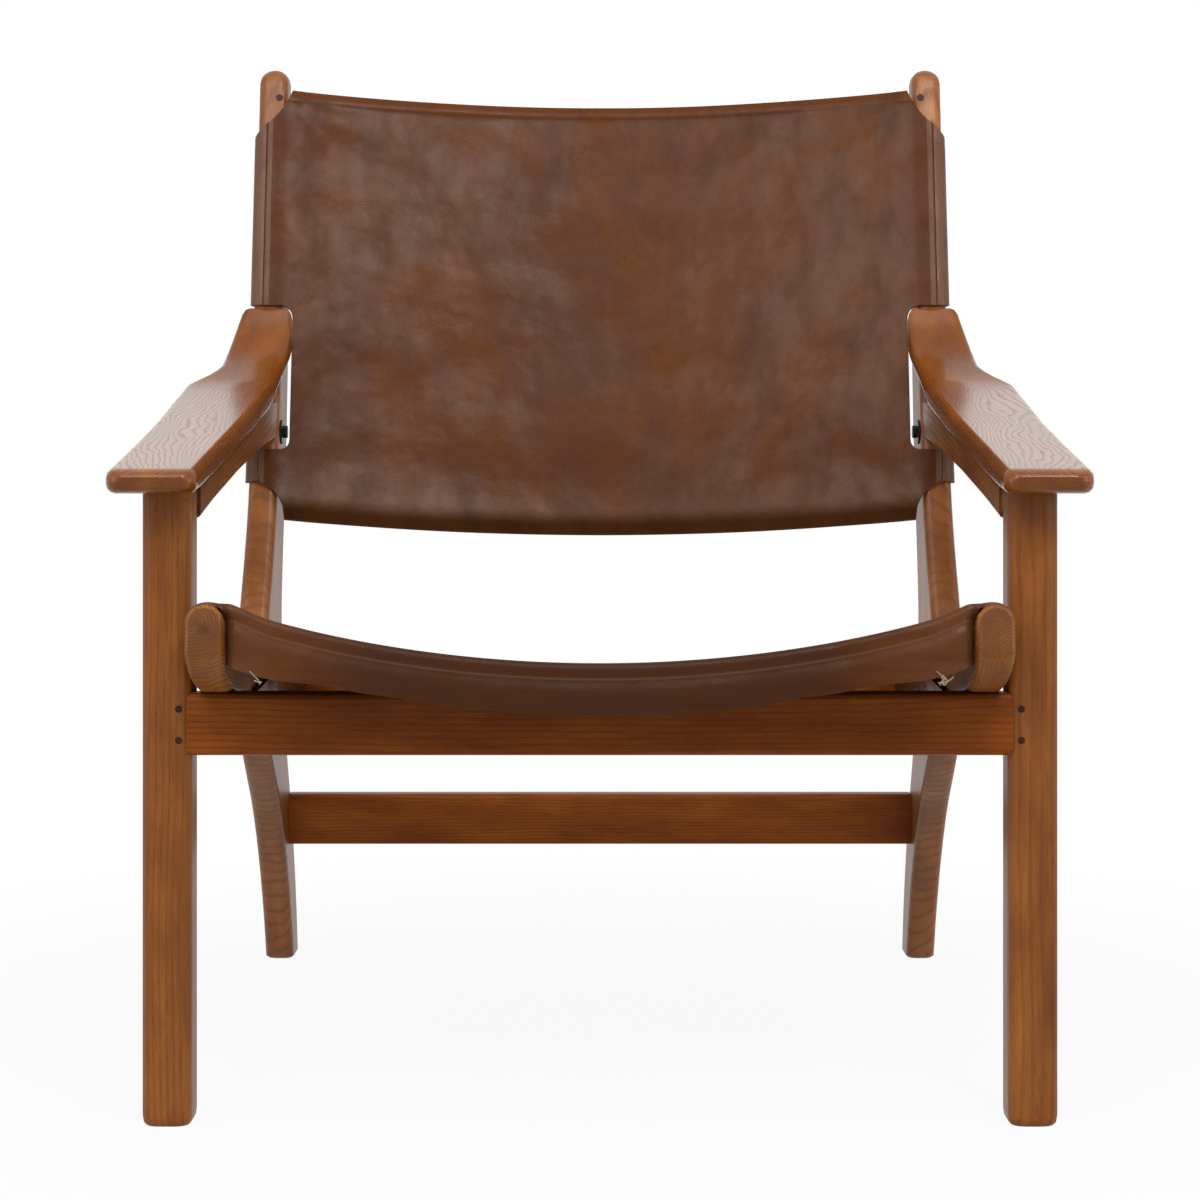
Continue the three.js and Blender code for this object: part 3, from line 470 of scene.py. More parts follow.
def post_edges(z):
    """The places of a post's front and back edge at one height."""
    share = z / POST_HEIGHT
    return [POST_REACH * np.interp(share, POST[:, 0], POST[:, edge]) for edge in (1, 2)]


def arc(centre, radius, start, end, steps=8):
    """Points on an arc between two angles."""
    angles = np.linspace(start, end, steps + 1)
    return [(centre[0] + radius * math.cos(a), centre[1] + radius * math.sin(a)) for a in angles]


def soft_positive(value, width):
    """The value where it is above zero, easing to zero below it."""
    return width * math.log1p(math.exp(min(value / width, 60)))


def laid(points, spans):
    """Knots of a path: each point with its nominal place along the flat leather."""
    return np.array(spans), np.array(points)


def back_section(z):
    """The back leather at one height: places along it and points seen from above."""
    front, back = post_edges(z)
    near = front - MID_GAP
    radius = POST_ROUND + MID_GAP

    def bow(x):
        return soft_positive(BACK_BOW * (1 - (x / POST_INSIDE) ** 2), 1.1)

    # The bow has points 6 mm apart, and 1 mm apart where it meets the post
    places, points = [], []
    for x in [*np.arange(0, 264, 6), *np.arange(264, POST_EDGE, 1.0), POST_EDGE]:
        places.append(x)
        points.append((x, near + bow(x)))
    corner = (POST_INSIDE + POST_ROUND, back - POST_ROUND)
    seam = (POST_INSIDE - SEAM, near + bow(POST_INSIDE - SEAM) + LEATHER + FLAP_AIR)
    lean = math.atan2(corner[0] - radius - seam[0], corner[1] - seam[1])
    flap = np.linspace(seam[0], seam[0] - FLAP, 5)[1:]
    runs = [
        arc((POST_EDGE, front + POST_ROUND), radius, -math.pi / 2, 0)[1:],
        [(POST_EDGE + radius, back - POST_ROUND)],
        arc((POST_EDGE, back - POST_ROUND), radius, 0, math.pi / 2)[1:],
        [(corner[0], corner[1] + radius)],
        arc(corner, radius, math.pi / 2, math.pi - lean)[1:],
        [seam],
        [(x, near + bow(x) + LEATHER + FLAP_AIR) for x in flap],
    ]
    return run_out(places, points, zip((*BACK_WRAP, FLAP), runs))


def run_out(places, points, runs):
    """Adds runs of points, each with its nominal length, behind the panel's points."""
    for length, added in runs:
        start = places[-1]
        for k, point in enumerate(added):
            places.append(start + length * (k + 1) / len(added))
            points.append(point)
    return laid(points, places)


def seat_section(y):
    """The seat leather at one place along the rails: places along it and points seen from the front."""
    share = min(max((y - SEAT_FRONT) / (SEAT_BACK - SEAT_FRONT), 0), 1)
    sag = SEAT_SAG + SEAT_SAG_DEEP * math.sin(math.pi * share)
    radius, low = RAIL_CROWN + MID_GAP, RAIL_ROUND + MID_GAP
    # The slope with which the bow, whose height is below, meets the crown
    slope = math.atan(2.28 * sag / RAIL_INSIDE)
    crown = (RAIL_INSIDE + RAIL_CROWN, RAIL_HEIGHT - RAIL_CROWN)
    edge = (crown[0] - radius * math.sin(slope), crown[1] + radius * math.cos(slope))

    def height(x):
        u = x / edge[0]
        return edge[1] - sag * (1 - 0.93 * u**2 - 0.07 * u**6)

    places, points = [], []
    for k in range(41):
        places.append(SEAT_EDGE * k / 40)
        points.append((edge[0] * k / 40, height(edge[0] * k / 40)))
    corner = (RAIL_INSIDE + RAIL_ROUND, RAIL_ROUND)
    seam = (RAIL_INSIDE - SEAM, height(RAIL_INSIDE - SEAM) - LEATHER - FLAP_AIR)
    lean = math.atan2(corner[0] - low - seam[0], seam[1] - corner[1])
    outer = RAIL_OUTSIDE - RAIL_CROWN
    flap = np.linspace(seam[0], seam[0] - FLAP, 5)[1:]
    runs = [
        arc(crown, radius, math.pi / 2 + slope, math.pi / 2)[1:],
        [(outer, crown[1] + radius)],
        arc((outer, crown[1]), radius, math.pi / 2, 0)[1:],
        [(outer + radius, RAIL_ROUND)],
        arc((RAIL_OUTSIDE - RAIL_ROUND, RAIL_ROUND), low, 0, -math.pi / 2)[1:],
        [(corner[0], corner[1] - low)],
        arc(corner, low, -math.pi / 2, -math.pi + lean)[1:],
        [seam],
        [(x, height(x) - LEATHER - FLAP_AIR) for x in flap],
    ]
    return run_out(places, points, zip((*SEAT_WRAP, FLAP), runs))


def dense(outline, step):
    """The closed outline with points at most a step apart."""
    out = []
    for i, a in enumerate(outline):
        b = outline[(i + 1) % len(outline)]
        count = max(1, int(math.ceil(math.dist(a, b) / step)))
        out += [(a[0] + (b[0] - a[0]) * k / count, a[1] + (b[1] - a[1]) * k / count) for k in range(count)]
    return out


def inside(points, outline, margin):
    """Which points lie inside the outline and further from it than the margin."""
    shape = np.array(outline)
    after = np.roll(shape, -1, axis=0)
    px, py = points[:, 0][:, None], points[:, 1][:, None]
    crosses = (shape[:, 1] > py) != (after[:, 1] > py)
    with np.errstate(divide="ignore", invalid="ignore"):
        at = (after[:, 0] - shape[:, 0]) * (py - shape[:, 1]) / (after[:, 1] - shape[:, 1]) + shape[:, 0]
    odd = (crosses & (px < at)).sum(axis=1) % 2 == 1
    near = np.min(np.hypot(shape[:, 0] - px, shape[:, 1] - py), axis=1)
    return odd & (near > margin)


def cut_pattern(half, columns, rows, step):
    """Triangles of a flat sheet from its right half's outline, with points where columns and rows cross."""
    left = [(-p, v) for p, v in reversed(half) if p > 0]
    outline = dense(half + left, step)
    both = sorted({*columns, *(-c for c in columns)})
    grid = np.array([(p, v) for v in rows for p in both])
    kept = grid[inside(grid, outline, step * 0.45)]
    coords = [Vector(p) for p in outline] + [Vector(p) for p in kept]
    edges = [(i, (i + 1) % len(outline)) for i in range(len(outline))]
    verts, _, faces, *_ = delaunay_2d_cdt(coords, edges, [], 1, 1e-4)
    return np.array([tuple(v) for v in verts]), [tuple(f) for f in faces]


def new_piece(name, data):
    """An object in the scene for a mesh, a lamp or a camera."""
    piece = bpy.data.objects.new(name, data)
    bpy.context.scene.collection.objects.link(piece)
    return piece


def leather_sheet(name, flat, faces, points, materials):
    """A sheet of leather through the given points, with its thickness and its raw edges."""
    mesh = bpy.data.meshes.new(name)
    mesh.from_pydata([tuple(p) for p in points], [], faces)
    layer = mesh.uv_layers.new(name="Flat")
    for loop in mesh.loops:
        layer.data[loop.index].uv = flat[loop.vertex_index] * MM
    mesh.update()
    piece = new_piece(name, mesh)
    for material in materials:
        mesh.materials.append(material)
    solid = piece.modifiers.new("Thickness", "SOLIDIFY")
    solid.thickness = LEATHER * MM
    solid.offset = 0
    solid.material_offset = 2
    solid.material_offset_rim = 1
    apply_modifiers(piece)
    piece.data.shade_smooth()
    piece.data.set_sharp_from_angle(angle=math.radians(50))
    return piece


def apply_modifiers(piece):
    """Turns the evaluated piece into a plain mesh and removes its modifiers."""
    graph = bpy.context.evaluated_depsgraph_get()
    evaluated = piece.evaluated_get(graph)
    made = bpy.data.meshes.new_from_object(evaluated, preserve_all_data_layers=True, depsgraph=graph)
    old = piece.data
    piece.modifiers.clear()
    piece.data = made
    made.name = piece.name
    bpy.data.meshes.remove(old)


def settle(piece, slot, *nodes):
    """The piece rides on the chair and stands for its CAD nodes, which it hides. Its slot is not used."""
    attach(piece, "root")
    if nodes:
        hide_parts(*nodes)
    return piece


def on_path(section, at, p, cache):
    """Where a place on the flat leather lies on the section there: both its coordinates."""
    key = round(at * 2)
    if key not in cache:
        cache[key] = section(at)
    places, path = cache[key]
    return [np.interp(abs(p), places, path[:, axis]) for axis in (0, 1)]


def leathers(settings, name, marks, smudge_size, matt):
    """A sling's waxed face, raw cut edge and flesh side. The matt strip is a centre, half and edge."""
    tones = [tuple(colour) for colour in (settings.warm, settings.haze_and_sheen, settings.deep)]
    # The knife's cut is dull and a little redder than the face, the flesh side is rough and has no sheen
    made = bpy.data.materials
    edge = made.get("Raw leather edge") or plain("Raw leather edge", "#805646", 0.8, shine=0.1)
    flesh = made.get("Leather flesh side") or plain("Leather flesh side", "#5a3c26", 0.95, shine=0.05)
    return leather(name, tones, marks, smudge_size, matt), edge, flesh


# Back sling


# The upper corner's cut, from the post's outer arris to the hem's end: how far in from there and how far up
HEAD_CUT = [(0, 0), (6, 6), (12, 12), (17, 19), (21, 26), (24.2, 34)]


def back_outline():
    """The right half of the back leather's cut, from the middle of its lower edge."""
    # The lower corner's round cut, from the sling's edge out to the post's outer arris
    foot_cut = []
    for k in range(13):
        x = POST_OUTSIDE - CORNER + (POST_EDGE - POST_OUTSIDE + CORNER) * k / 12
        foot_cut.append((x, BACK_FOOT + math.sqrt(max(CORNER**2 - (POST_OUTSIDE - x) ** 2, 0))))

    low, high = NOTCH
    middle = NOTCH_EDGE + NOTCH_ROUND
    head = BACK_HEAD - HEAD_CUT[-1][1]
    return [
        (0, BACK_FOOT),
        *foot_cut,
        # The sleeve under the notch
        (POST_EDGE + 13, SLEEVE_FOOT),
        (BACK_END, SLEEVE_FOOT),
        (BACK_END, low),
        *arc((middle, low + NOTCH_ROUND), NOTCH_ROUND, -math.pi / 2, -math.pi, 6),
        *arc((middle, high - NOTCH_ROUND), NOTCH_ROUND, math.pi, math.pi / 2, 6),
        (BACK_END, high),
        # The sleeve over it, whose flap reaches higher inboard of the post
        (BACK_END, BACK_HEAD - 7),
        (BACK_END - 36, BACK_HEAD - 7),
        (BACK_END - 52, SLEEVE_HEAD),
        (POST_EDGE + 16, SLEEVE_HEAD),
        *((POST_EDGE - inward, head + up) for inward, up in HEAD_CUT),
        (0, BACK_HEAD),
    ]


def back_relief(p, z, settings):
    """How far the back leather stands forward of its path: lap over the post, the upper hem and slack."""
    x = abs(p)
    rise = settings.ridge / MM
    out = 0.0
    if x < POST_EDGE + 2:
        lap = 1 / (1 + math.exp((x - LAP_END) / 0.16))
        ridge = math.exp(-(((x - LAP_RIDGE) / 2.2) ** 2))
        base = 1 / (1 + math.exp((LAP_START - x) / 3.0))
        out += lap * (rise * 0.55 * base + rise * 0.5 * ridge)
        # The row of stitches pulls the ridge in
        out -= 0.5 * math.exp(-(((x - LAP_STITCHES) / 0.7) ** 2)) * base
    # The rolled hem stands proud, with its edge turned back and a groove below it
    hem = settings.hem / MM
    if x < LAP_START and BACK_HEAD - z < 3 * hem:
        t = (BACK_HEAD - z) / hem
        out += 0.7 * math.exp(-(((t - 0.75) / 0.4) ** 2)) - 2.6 * math.exp(-((t / 0.4) ** 2))
        out -= 0.25 * math.exp(-(((t - 1.3) / 0.3) ** 2))
    # Between the posts the sheet is a little slack, and pulls in folds from its four corners
    if x < POST_INSIDE:
        ease = min(1, (POST_INSIDE - x) / 40)
        out += ease * 1.6 * math.sin(x / 47 + z / 61) * math.sin(z / 83 + 0.6 + p / 190)
        for end in (BACK_HEAD, BACK_FOOT):
            dx, dz = POST_INSIDE - x, abs(z - end)
            far = math.hypot(dx, dz)
            angle = math.atan2(dz, dx)
            out += ease * 1.9 * math.exp(-far / 80) * math.cos(8 * angle + far / 24)
    return out


# Strips of the back's flat sheet: axis, centre, half width, soft edge, tone and strength. First come the hem,
# painted shade in its groove and painted shade along the bare foot, then what lies beside the lapped edge:
# painted sheen on the post's outer round, painted shade inboard of the lap, a painted highlight on its ridge
# and a painted shadow line along its edge.
BACK_MARKS = [
    ("Y", BACK_HEAD - 4, 3.6, 1.6, "#603210", 0.8),
    # Painted shade in the groove under the hem
    ("Y", BACK_HEAD - 10, 0.6, 1.4, "#3f2212", 0.3),
    # Painted shade along the bare foot, where the leather turns down away from the light
    ("Y", BACK_FOOT, 6, 18, "#38200f", 0.85),
    # Painted sheen on the leather over the post's outer round
    ("X", 316.5, 9, 0.4, "#785848", 0.75),
    # Painted shade on the band where the leather turns in from the post
    ("X", LAP_START, 4.5, 3, "#522a10", 0.8),
    # Painted highlight on the lap's ridge
    ("X", 304.3, 1.5, 0.8, "#74523f", 0.75),
    # Painted shadow line along the lap's edge
    ("X", LAP_END, 0.25, 0.35, "#2a150b", 0.95),
]


class CHAIR_OT_back_sling(bpy.types.Operator):
    """Cuts the back leather and stretches it over the posts"""

    bl_idname = "chair.back_sling"
    bl_label = "Back sling"

    def execute(self, context):
        settings = context.scene.chair_leather
        cell = settings.cell / MM
        # Columns cross the bow and the lap. Behind them a few lie on the wrap's flats, and more round its
        # arrises.
        columns = [*np.arange(0, 292, cell), *LAP_COLUMNS, *(POST_EDGE + k for k in (34, 110, 132, 140))]
        for run, first, last in ((0, 1, 8), (2, 0, 8), (4, 0, 6)):
            start = POST_EDGE + sum(BACK_WRAP[:run])
            columns += [start + BACK_WRAP[run] * k / last for k in range(first, last + 1)]
        hems = [1.2, 3, 4.6, 6.2, 8, 10, 12.5]
        rows = [*np.arange(BACK_FOOT + 18, BACK_HEAD - 16, cell)]
        rows += [BACK_FOOT + h for h in hems] + [BACK_HEAD - h for h in hems]
        flat, faces = cut_pattern(back_outline(), columns, rows, 4.0)
        cache, points = {}, []
        for p, z in flat:
            x, y = on_path(back_section, z, p, cache)
            y -= back_relief(p, z, settings)
            deep = np.interp(z, (BACK_FOOT, BACK_HEAD), BACK_DROPS)
            drop = deep * max(0, 1 - (x / POST_INSIDE) ** 2)
            points.append((math.copysign(x, p) * MM, y * MM + LEG_FACE * MM, (z - drop) * MM))
        smudges, unwaxed = (0.024, 0.03, 0.045), (BACK_FOOT, 8, 16)
        materials = leathers(settings, "Waxed brown leather, back", BACK_MARKS, smudges, unwaxed)
        piece = leather_sheet("back_sling_leather", flat, faces, points, materials)
        settle(piece, "leather", "back_sling")
        return {"FINISHED"}


# Seat sling


# The turned-down edge, from the fold: length of each run and its angle below the seat's plane
LIP_RUNS = [(1.5, 24), (1.5, 56), (2, 82), (6, 90), (3, 84), (3, 77), (3, 80), (4, 90), (14, 97), (10, 80)]

# Where the turned-down edge is rubbed pale along its crease, on the flat sheet: partly a painted highlight
LIP_RUB_AND_HIGHLIGHT = SEAT_FRONT - 11.5

# Strips of the seat's flat sheet, as on the back: painted shade over the hollow where one sits, the rail's
# edge and the rub, which is partly a painted highlight on the lip's crease
SEAT_MARKS = [
    # Painted shade over the middle of the sheet, the turned-down edge too
    ("X", 0, 140, 120, "#3c1e0c", 0.9),
    ("X", 263, 3, 3, "#4a2a1a", 0.5),
    # A pale rub along the lip's crease, partly a painted highlight
    ("Y", LIP_RUB_AND_HIGHLIGHT, 0.2, 1.2, "#7d5f4c", 0.22),
]


def lip_profile():
    """Places down the lip and how far it has gone forward and down in the seat's own frame."""
    places, points = [0.0], [(0.0, 0.0)]
    for length, angle in LIP_RUNS:
        y, z = points[-1]
        turn = math.radians(angle)
        places.append(places[-1] + length)
        points.append((y - length * math.cos(turn), z - length * math.sin(turn)))
    return laid(points, places)


def seat_outline():
    """The right half of the seat leather's cut, from the middle of its turned-down edge."""
    lip = SEAT_FRONT - LIP_DEPTH
    side = SEAT_EDGE + sum(SEAT_WRAP[:3]) + 24
    end = SEAT_EDGE + sum(SEAT_WRAP) + FLAP
    # The lower edge of the lip is cut by hand, so it wanders
    hand_cut = []
    for x in range(0, 226, 5):
        even = np.interp(x, (0, 120, 190, 225), (lip, lip + 1.8, lip + 1.2, lip - 2.8))
        hand_cut.append((x, even + 0.7 * math.sin(x / 13) * math.sin(x / 31 + 0.8)))
    return [
        *hand_cut,
        # The lip's end, up to the fold
        (LIP_END, lip - 7),
        (LIP_END + 11, lip - 5.5),
        (LIP_END + 11.5, SEAT_FRONT - 3),
        # Over the rail's front end, and down its outside to where the sleeve clears the front leg
        (270, SEAT_FRONT + 3.5),
        (298, SEAT_FRONT + 6),
        (side, SEAT_FRONT + 12),
        (side + 6, SLEEVE_START),
        (side + 43, SLEEVE_START + 20),
        (end - 40, SLEEVE_START + 150),
        (end, SLEEVE_START + 160),
        (end, SEAT_BACK),
        (0, SEAT_BACK),
    ]


def seat_relief(p, y):
    """How far the seat leather lies over its path: its climb to the rail, wear and slack corners."""
    x = abs(p)
    climb = 2.8 * math.exp(-(((256 - x) / 15) ** 2)) * max(0, min(1, (SEAT_EDGE - x) / 10))
    inner = max(0, min(1, (y - SEAT_FRONT) / 80))
    ease = inner * max(0, min(1, (258 - x) / 60))
    far = math.hypot(262 - x, y - SEAT_FRONT)
    wear = 1.8 * math.sin(x / 52 + y / 71) * math.sin(y / 88 + 0.4 + p / 210)
    return climb + ease * (wear + 1.5 * math.exp(-far / 90) * math.cos(far / 17))


def turned_end(p, x, down):
    """Where the turned-down edge bends back along the rail: its place across and how far it has gone back."""
    angle = max(0, min((p - LIP_END) / LIP_TURN, 1.4))
    share = max(0, min(1, down / 13))
    share = share * share * (3 - 2 * share)
    bent = (LIP_END if p > LIP_END else x) + LIP_TURN * math.sin(angle)
    return x + share * (bent - x), share * LIP_TURN * (1 - math.cos(angle))


def seat_place(x, y, z):
    """A point of the seat's own frame, as it stands in the room."""
    back = y * math.cos(SEAT_TILT) + z * math.sin(SEAT_TILT)
    up = RAIL_FOOT + z * math.cos(SEAT_TILT) - y * math.sin(SEAT_TILT)
    return x * MM, back * MM + LEG_FACE * MM, up * MM


class CHAIR_OT_seat_sling(bpy.types.Operator):
    """Cuts the seat leather, stretches it between the rails and turns its front edge down"""

    bl_idname = "chair.seat_sling"
    bl_label = "Seat sling"

    def execute(self, context):
        settings = context.scene.chair_leather
        cell = settings.cell / MM
        # Columns lie closer together where the leather climbs to the rail, round its crown and lower arrises
        bends = {
            SEAT_EDGE: (1.5, 3, 4.5, 6, 8.3, 11, 14, 17, 20, 23, 26, 30.3),
            SEAT_EDGE + sum(SEAT_WRAP[:4]): (0, 3, 6, 9, 12.4),
            SEAT_EDGE + sum(SEAT_WRAP[:6]): (0, 3, 6, 9, 11),
        }
        columns = [*np.arange(0, SEAT_EDGE, cell), 256.5, 259, 261.5, 263.5, 400, 420, 428]
        columns += [first + k for first, steps in bends.items() for k in steps]
        lips = [SEAT_FRONT - d for d in np.arange(1.2, LIP_DEPTH - 1.5, 1.6)]
        rows = [*lips, *(SEAT_FRONT + d for d in (0, 2, 5)), *np.arange(SEAT_FRONT + 10, SEAT_BACK, cell)]
        flat, faces = cut_pattern(seat_outline(), columns, rows, 4.0)
        lip_places, lip_points = lip_profile()
        cache, points = {}, []
        for p, v in flat:
            y = max(v, SEAT_FRONT)
            x, z = on_path(seat_section, y, p, cache)
            if abs(p) < SEAT_EDGE:
                z += seat_relief(p, y)
            down = max(SEAT_FRONT - v, 0)
            y += np.interp(down, lip_places, lip_points[:, 0])
            z += np.interp(down, lip_places, lip_points[:, 1])
            if down > 0:
                x, back = turned_end(abs(p), x, down)
                y += back
            points.append(seat_place(math.copysign(x, p), y, z))
        smudges, unwaxed = (0.1, 0.02, 0.005), (SEAT_BACK, 4, 6)
        materials = leathers(settings, "Waxed brown leather, seat", SEAT_MARKS, smudges, unwaxed)
        piece = leather_sheet("seat_sling_leather", flat, faces, points, materials)
        settle(piece, "leather", "seat_sling")
        return {"FINISHED"}


# Stitches


def stitch_tree(material):
    """Geometry nodes that set a thread stitch at even steps along every line."""
    tree = bpy.data.node_groups.new("Stitches along a seam", "GeometryNodeTree")
    face = tree.interface
    face.new_socket("Seam", in_out="INPUT", socket_type="NodeSocketGeometry")
    for name in ("Pitch", "Length", "Radius"):
        face.new_socket(name, in_out="INPUT", socket_type="NodeSocketFloat")
    face.new_socket("Stitches", in_out="OUTPUT", socket_type="NodeSocketGeometry")
    start = add(tree, "NodeGroupInput")
    curve = add(tree, "GeometryNodeMeshToCurve", {"Mesh": start.outputs["Seam"]})
    along = {"Curve": curve.outputs[0], "Length": start.outputs["Pitch"]}
    steps = add(tree, "GeometryNodeResampleCurve", along, mode="LENGTH")
    bead = add(tree, "GeometryNodeMeshUVSphere", {"Segments": 8, "Rings": 6, "Radius": 1.0})
    size = {"X": start.outputs["Radius"], "Y": start.outputs["Radius"], "Z": start.outputs["Length"]}
    size = add(tree, "ShaderNodeCombineXYZ", size)
    shaped = add(tree, "GeometryNodeTransform", {"Geometry": bead.outputs["Mesh"], "Scale": size.outputs[0]})
    tangent = add(tree, "GeometryNodeInputTangent")
    aim = add(tree, "FunctionNodeAlignRotationToVector", {"Vector": tangent.outputs[0]}, axis="Z")
    placed = {"Points": steps.outputs[0], "Instance": shaped.outputs[0], "Rotation": aim.outputs[0]}
    placed = add(tree, "GeometryNodeInstanceOnPoints", placed)
    real = add(tree, "GeometryNodeRealizeInstances", {"Geometry": placed.outputs[0]})
    done = add(tree, "GeometryNodeSetMaterial", {"Geometry": real.outputs[0], "Material": material})
    add(tree, "NodeGroupOutput", {"Stitches": done.outputs[0]})
    return tree


def stitched(name, lines, tree, settings, pitch):
    """A row of stitches along each line, as one plain mesh."""
    verts, edges = [], []
    for line in lines:
        first = len(verts)
        verts += line
        edges += [(first + k, first + k + 1) for k in range(len(line) - 1)]
    mesh = bpy.data.meshes.new(name)
    mesh.from_pydata(verts, edges, [])
    piece = new_piece(name, mesh)
    modifier = piece.modifiers.new("Stitches", "NODES")
    modifier.node_group = tree
    values = {"Pitch": pitch, "Length": settings.length / 2, "Radius": settings.radius}
    for item in tree.interface.items_tree:
        if item.in_out == "INPUT" and item.name in values:
            modifier[item.identifier] = values[item.name]
    apply_modifiers(piece)
    piece.data.shade_smooth()
    return settle(piece, "leather")


# Loose ends of thread under the turned-down edge: their turns, across and up
LOOSE_THREADS = [
    [(236, 331), (241, 327), (237, 323), (243, 325), (239, 329), (240, 322), (246, 327)],
    [(-244, 331), (-240, 327), (-237, 323.5), (-240.5, 325)],
]


class CHAIR_OT_stitches(bpy.types.Operator):
    """Sews the lapped edges over the posts and the flaps under the seat"""

    bl_idname = "chair.stitches"
    bl_label = "Stitches"

    def execute(self, context):
        settings = context.scene.chair_stitches
        # Twisted thread: the wax gives the brown one a soft sheen, the loose ends are bare and dull
        thread = plain("Waxed brown thread, twisted", "#7d5c44", 0.6)
        pale = plain("Natural linen thread, twisted", "#a08a70", 0.7)
        lines, flaps = [], []
        for side in (-1, 1):
            # Down each post, above and below the notch, on the lapped edge's ridge
            for low, high in ((SLEEVE_FOOT + 6, NOTCH[0] - 4), (NOTCH[1] + 5, STITCH_HEAD)):
                line = []
                for z in np.arange(low, high, 6):
                    y = post_edges(z)[0] - MID_GAP - LEATHER / 2 - STITCH_PROUD
                    line.append((side * LAP_STITCHES * MM, y * MM + LEG_FACE * MM, z * MM))
                lines.append(line)
            # Along each flap under the seat, 6 mm from its edge
            line = []
            for y in np.arange(SLEEVE_START + 164, SEAT_BACK - 3, 6):
                places, path = seat_section(y)
                k = places[-1] - 6
                x = np.interp(k, places, path[:, 0])
                z = np.interp(k, places, path[:, 1]) - LEATHER / 2 - 0.1
                line.append(seat_place(side * x, y, z))
            flaps.append(line)
        # The loose ends lie just behind the lip
        reach = LEG_FACE + SEAT_FRONT - 2.4
        loose = [[(x * MM, reach * MM, z * MM) for x, z in turns] for turns in LOOSE_THREADS]
        sewn = stitch_tree(thread)
        stitched("back_sling_stitches", lines, sewn, settings, settings.pitch)
        stitched("seat_flap_stitches", flaps, sewn, settings, settings.pitch)
        stitched("loose_threads", loose, stitch_tree(pale), settings, settings.length / 2)
        return {"FINISHED"}


# Wood and hardware


# How a board lies: its grain upright, across the chair, along the arms or along the seat rails
UPRIGHT = (0, 0, 0)
ACROSS = (0, math.pi / 2, 0)
ALONG_ARM = (math.radians(-80.5), 0, 0)
ALONG_SEAT = (math.radians(-99), 0, 0)

# What a pair of boards has in common. A tint multiplies the red, green and blue of the wood's tones, so that
# each board has a tone of its own, and the posts' lighter tint is painted light. Hands have polished the
# arms.
LEG = {"ring": 0.0045, "figure": 0.3}
# The posts' tint lifts their wood: painted light, for light falling on their faces that lean back
POST_BOARD = {
    "tint": (1.25, 1.33, 1.65),
    "ring": 0.007,
    "figure": 0.4,
    "shine": 0.35,
    "bend": (0.05, 0.2, 0.03),
}
ARM = {
    "tint": (1.06, 0.95, 0.5),
    "ring": 0.0019,
    "figure": 0.6,
    "gloss": 0.22,
    "coat": 0.42,
    "bend": (0.05, 0.15, 0.02),
}

# Each finish: its nodes, the pith's place in metres, the grain's turn and what else sets it apart
WOODS = {
    "Oiled hardwood, right front leg": (["front_leg_right"], (0.37, -0.22, 0), UPRIGHT, LEG),
    "Oiled hardwood, left front leg": (["front_leg_left"], (-0.40, -0.25, 0), UPRIGHT, LEG),
    "Oiled hardwood, right post": (
        ["rear_leg_right"],
        (0.24, -0.12, 0),
        UPRIGHT,
        {**POST_BOARD, "knots": [((0.303, 0.172, 0.36), 0.006)]},
    ),
    "Oiled hardwood, left post": (
        ["rear_leg_left"],
        (-0.25, -0.10, 0),
        UPRIGHT,
        {**POST_BOARD, "knots": [((-0.305, 0.29, 0.098), 0.008), ((-0.306, 0.302, 0.075), 0.005)]},
    ),
    "Oiled hardwood, right arm": (["armrest_right"], (0.40, -0.1, 0.66), ALONG_ARM, ARM),
    "Oiled hardwood, left arm": (["armrest_left"], (-0.40, -0.1, 0.66), ALONG_ARM, ARM),
    "Oiled hardwood, arm rails": (
        ["arm_rail_right", "arm_rail_left"], (0.02, -0.1, 0.3), ALONG_ARM, {"figure": 0.3}
    ),
    "Oiled hardwood, right seat rail": (
        ["seat_rail_right"],
        (0.302, -0.363, 0.325),
        ALONG_SEAT,
        {
            "tint": (1.18, 1.32, 1.7),
            "ring": 0.0026,
            "figure": 0.5,
            "gloss": 0.5,
            "bend": (0.02, 0.2, 0.01),
            "knots": [((0.279, -0.362, 0.352), 0.004)],
        },
    ),
    "Oiled hardwood, left seat rail": (
        ["seat_rail_left"],
        (-0.2786, -0.363, 0.3625),
        ALONG_SEAT,
        {
            "tint": (1.12, 1.28, 1.7),
            "ring": 0.0022,
            "figure": 0.55,
            "gloss": 0.5,
            "bend": (0.02, 0.2, 0.009),
            "knots": [
                ((-0.2786, -0.362, 0.3625), 0.009),
                ((-0.2815, -0.3635, 0.3495), 0.0018),
                ((-0.277, -0.3635, 0.3495), 0.0018),
            ],
        },
    ),
    "Oiled hardwood, cross rails": (
        ["rear_stretcher", "seat_cross_rail"],
        (0, 0.2, 0.36),
        ACROSS,
        {"tint": (1.35, 1.12, 0.75), "figure": 0.35, "shine": 0.12},
    ),
    # The front rail's tint and low shine make it darker than the legs
    "Darker hardwood, front rail": (
        ["front_rail"],
        (0, -0.2, 0.36),
        ACROSS,
        {"tint": (0.92, 0.74, 0.6), "figure": 0.35, "shine": 0.08},
    ),
}


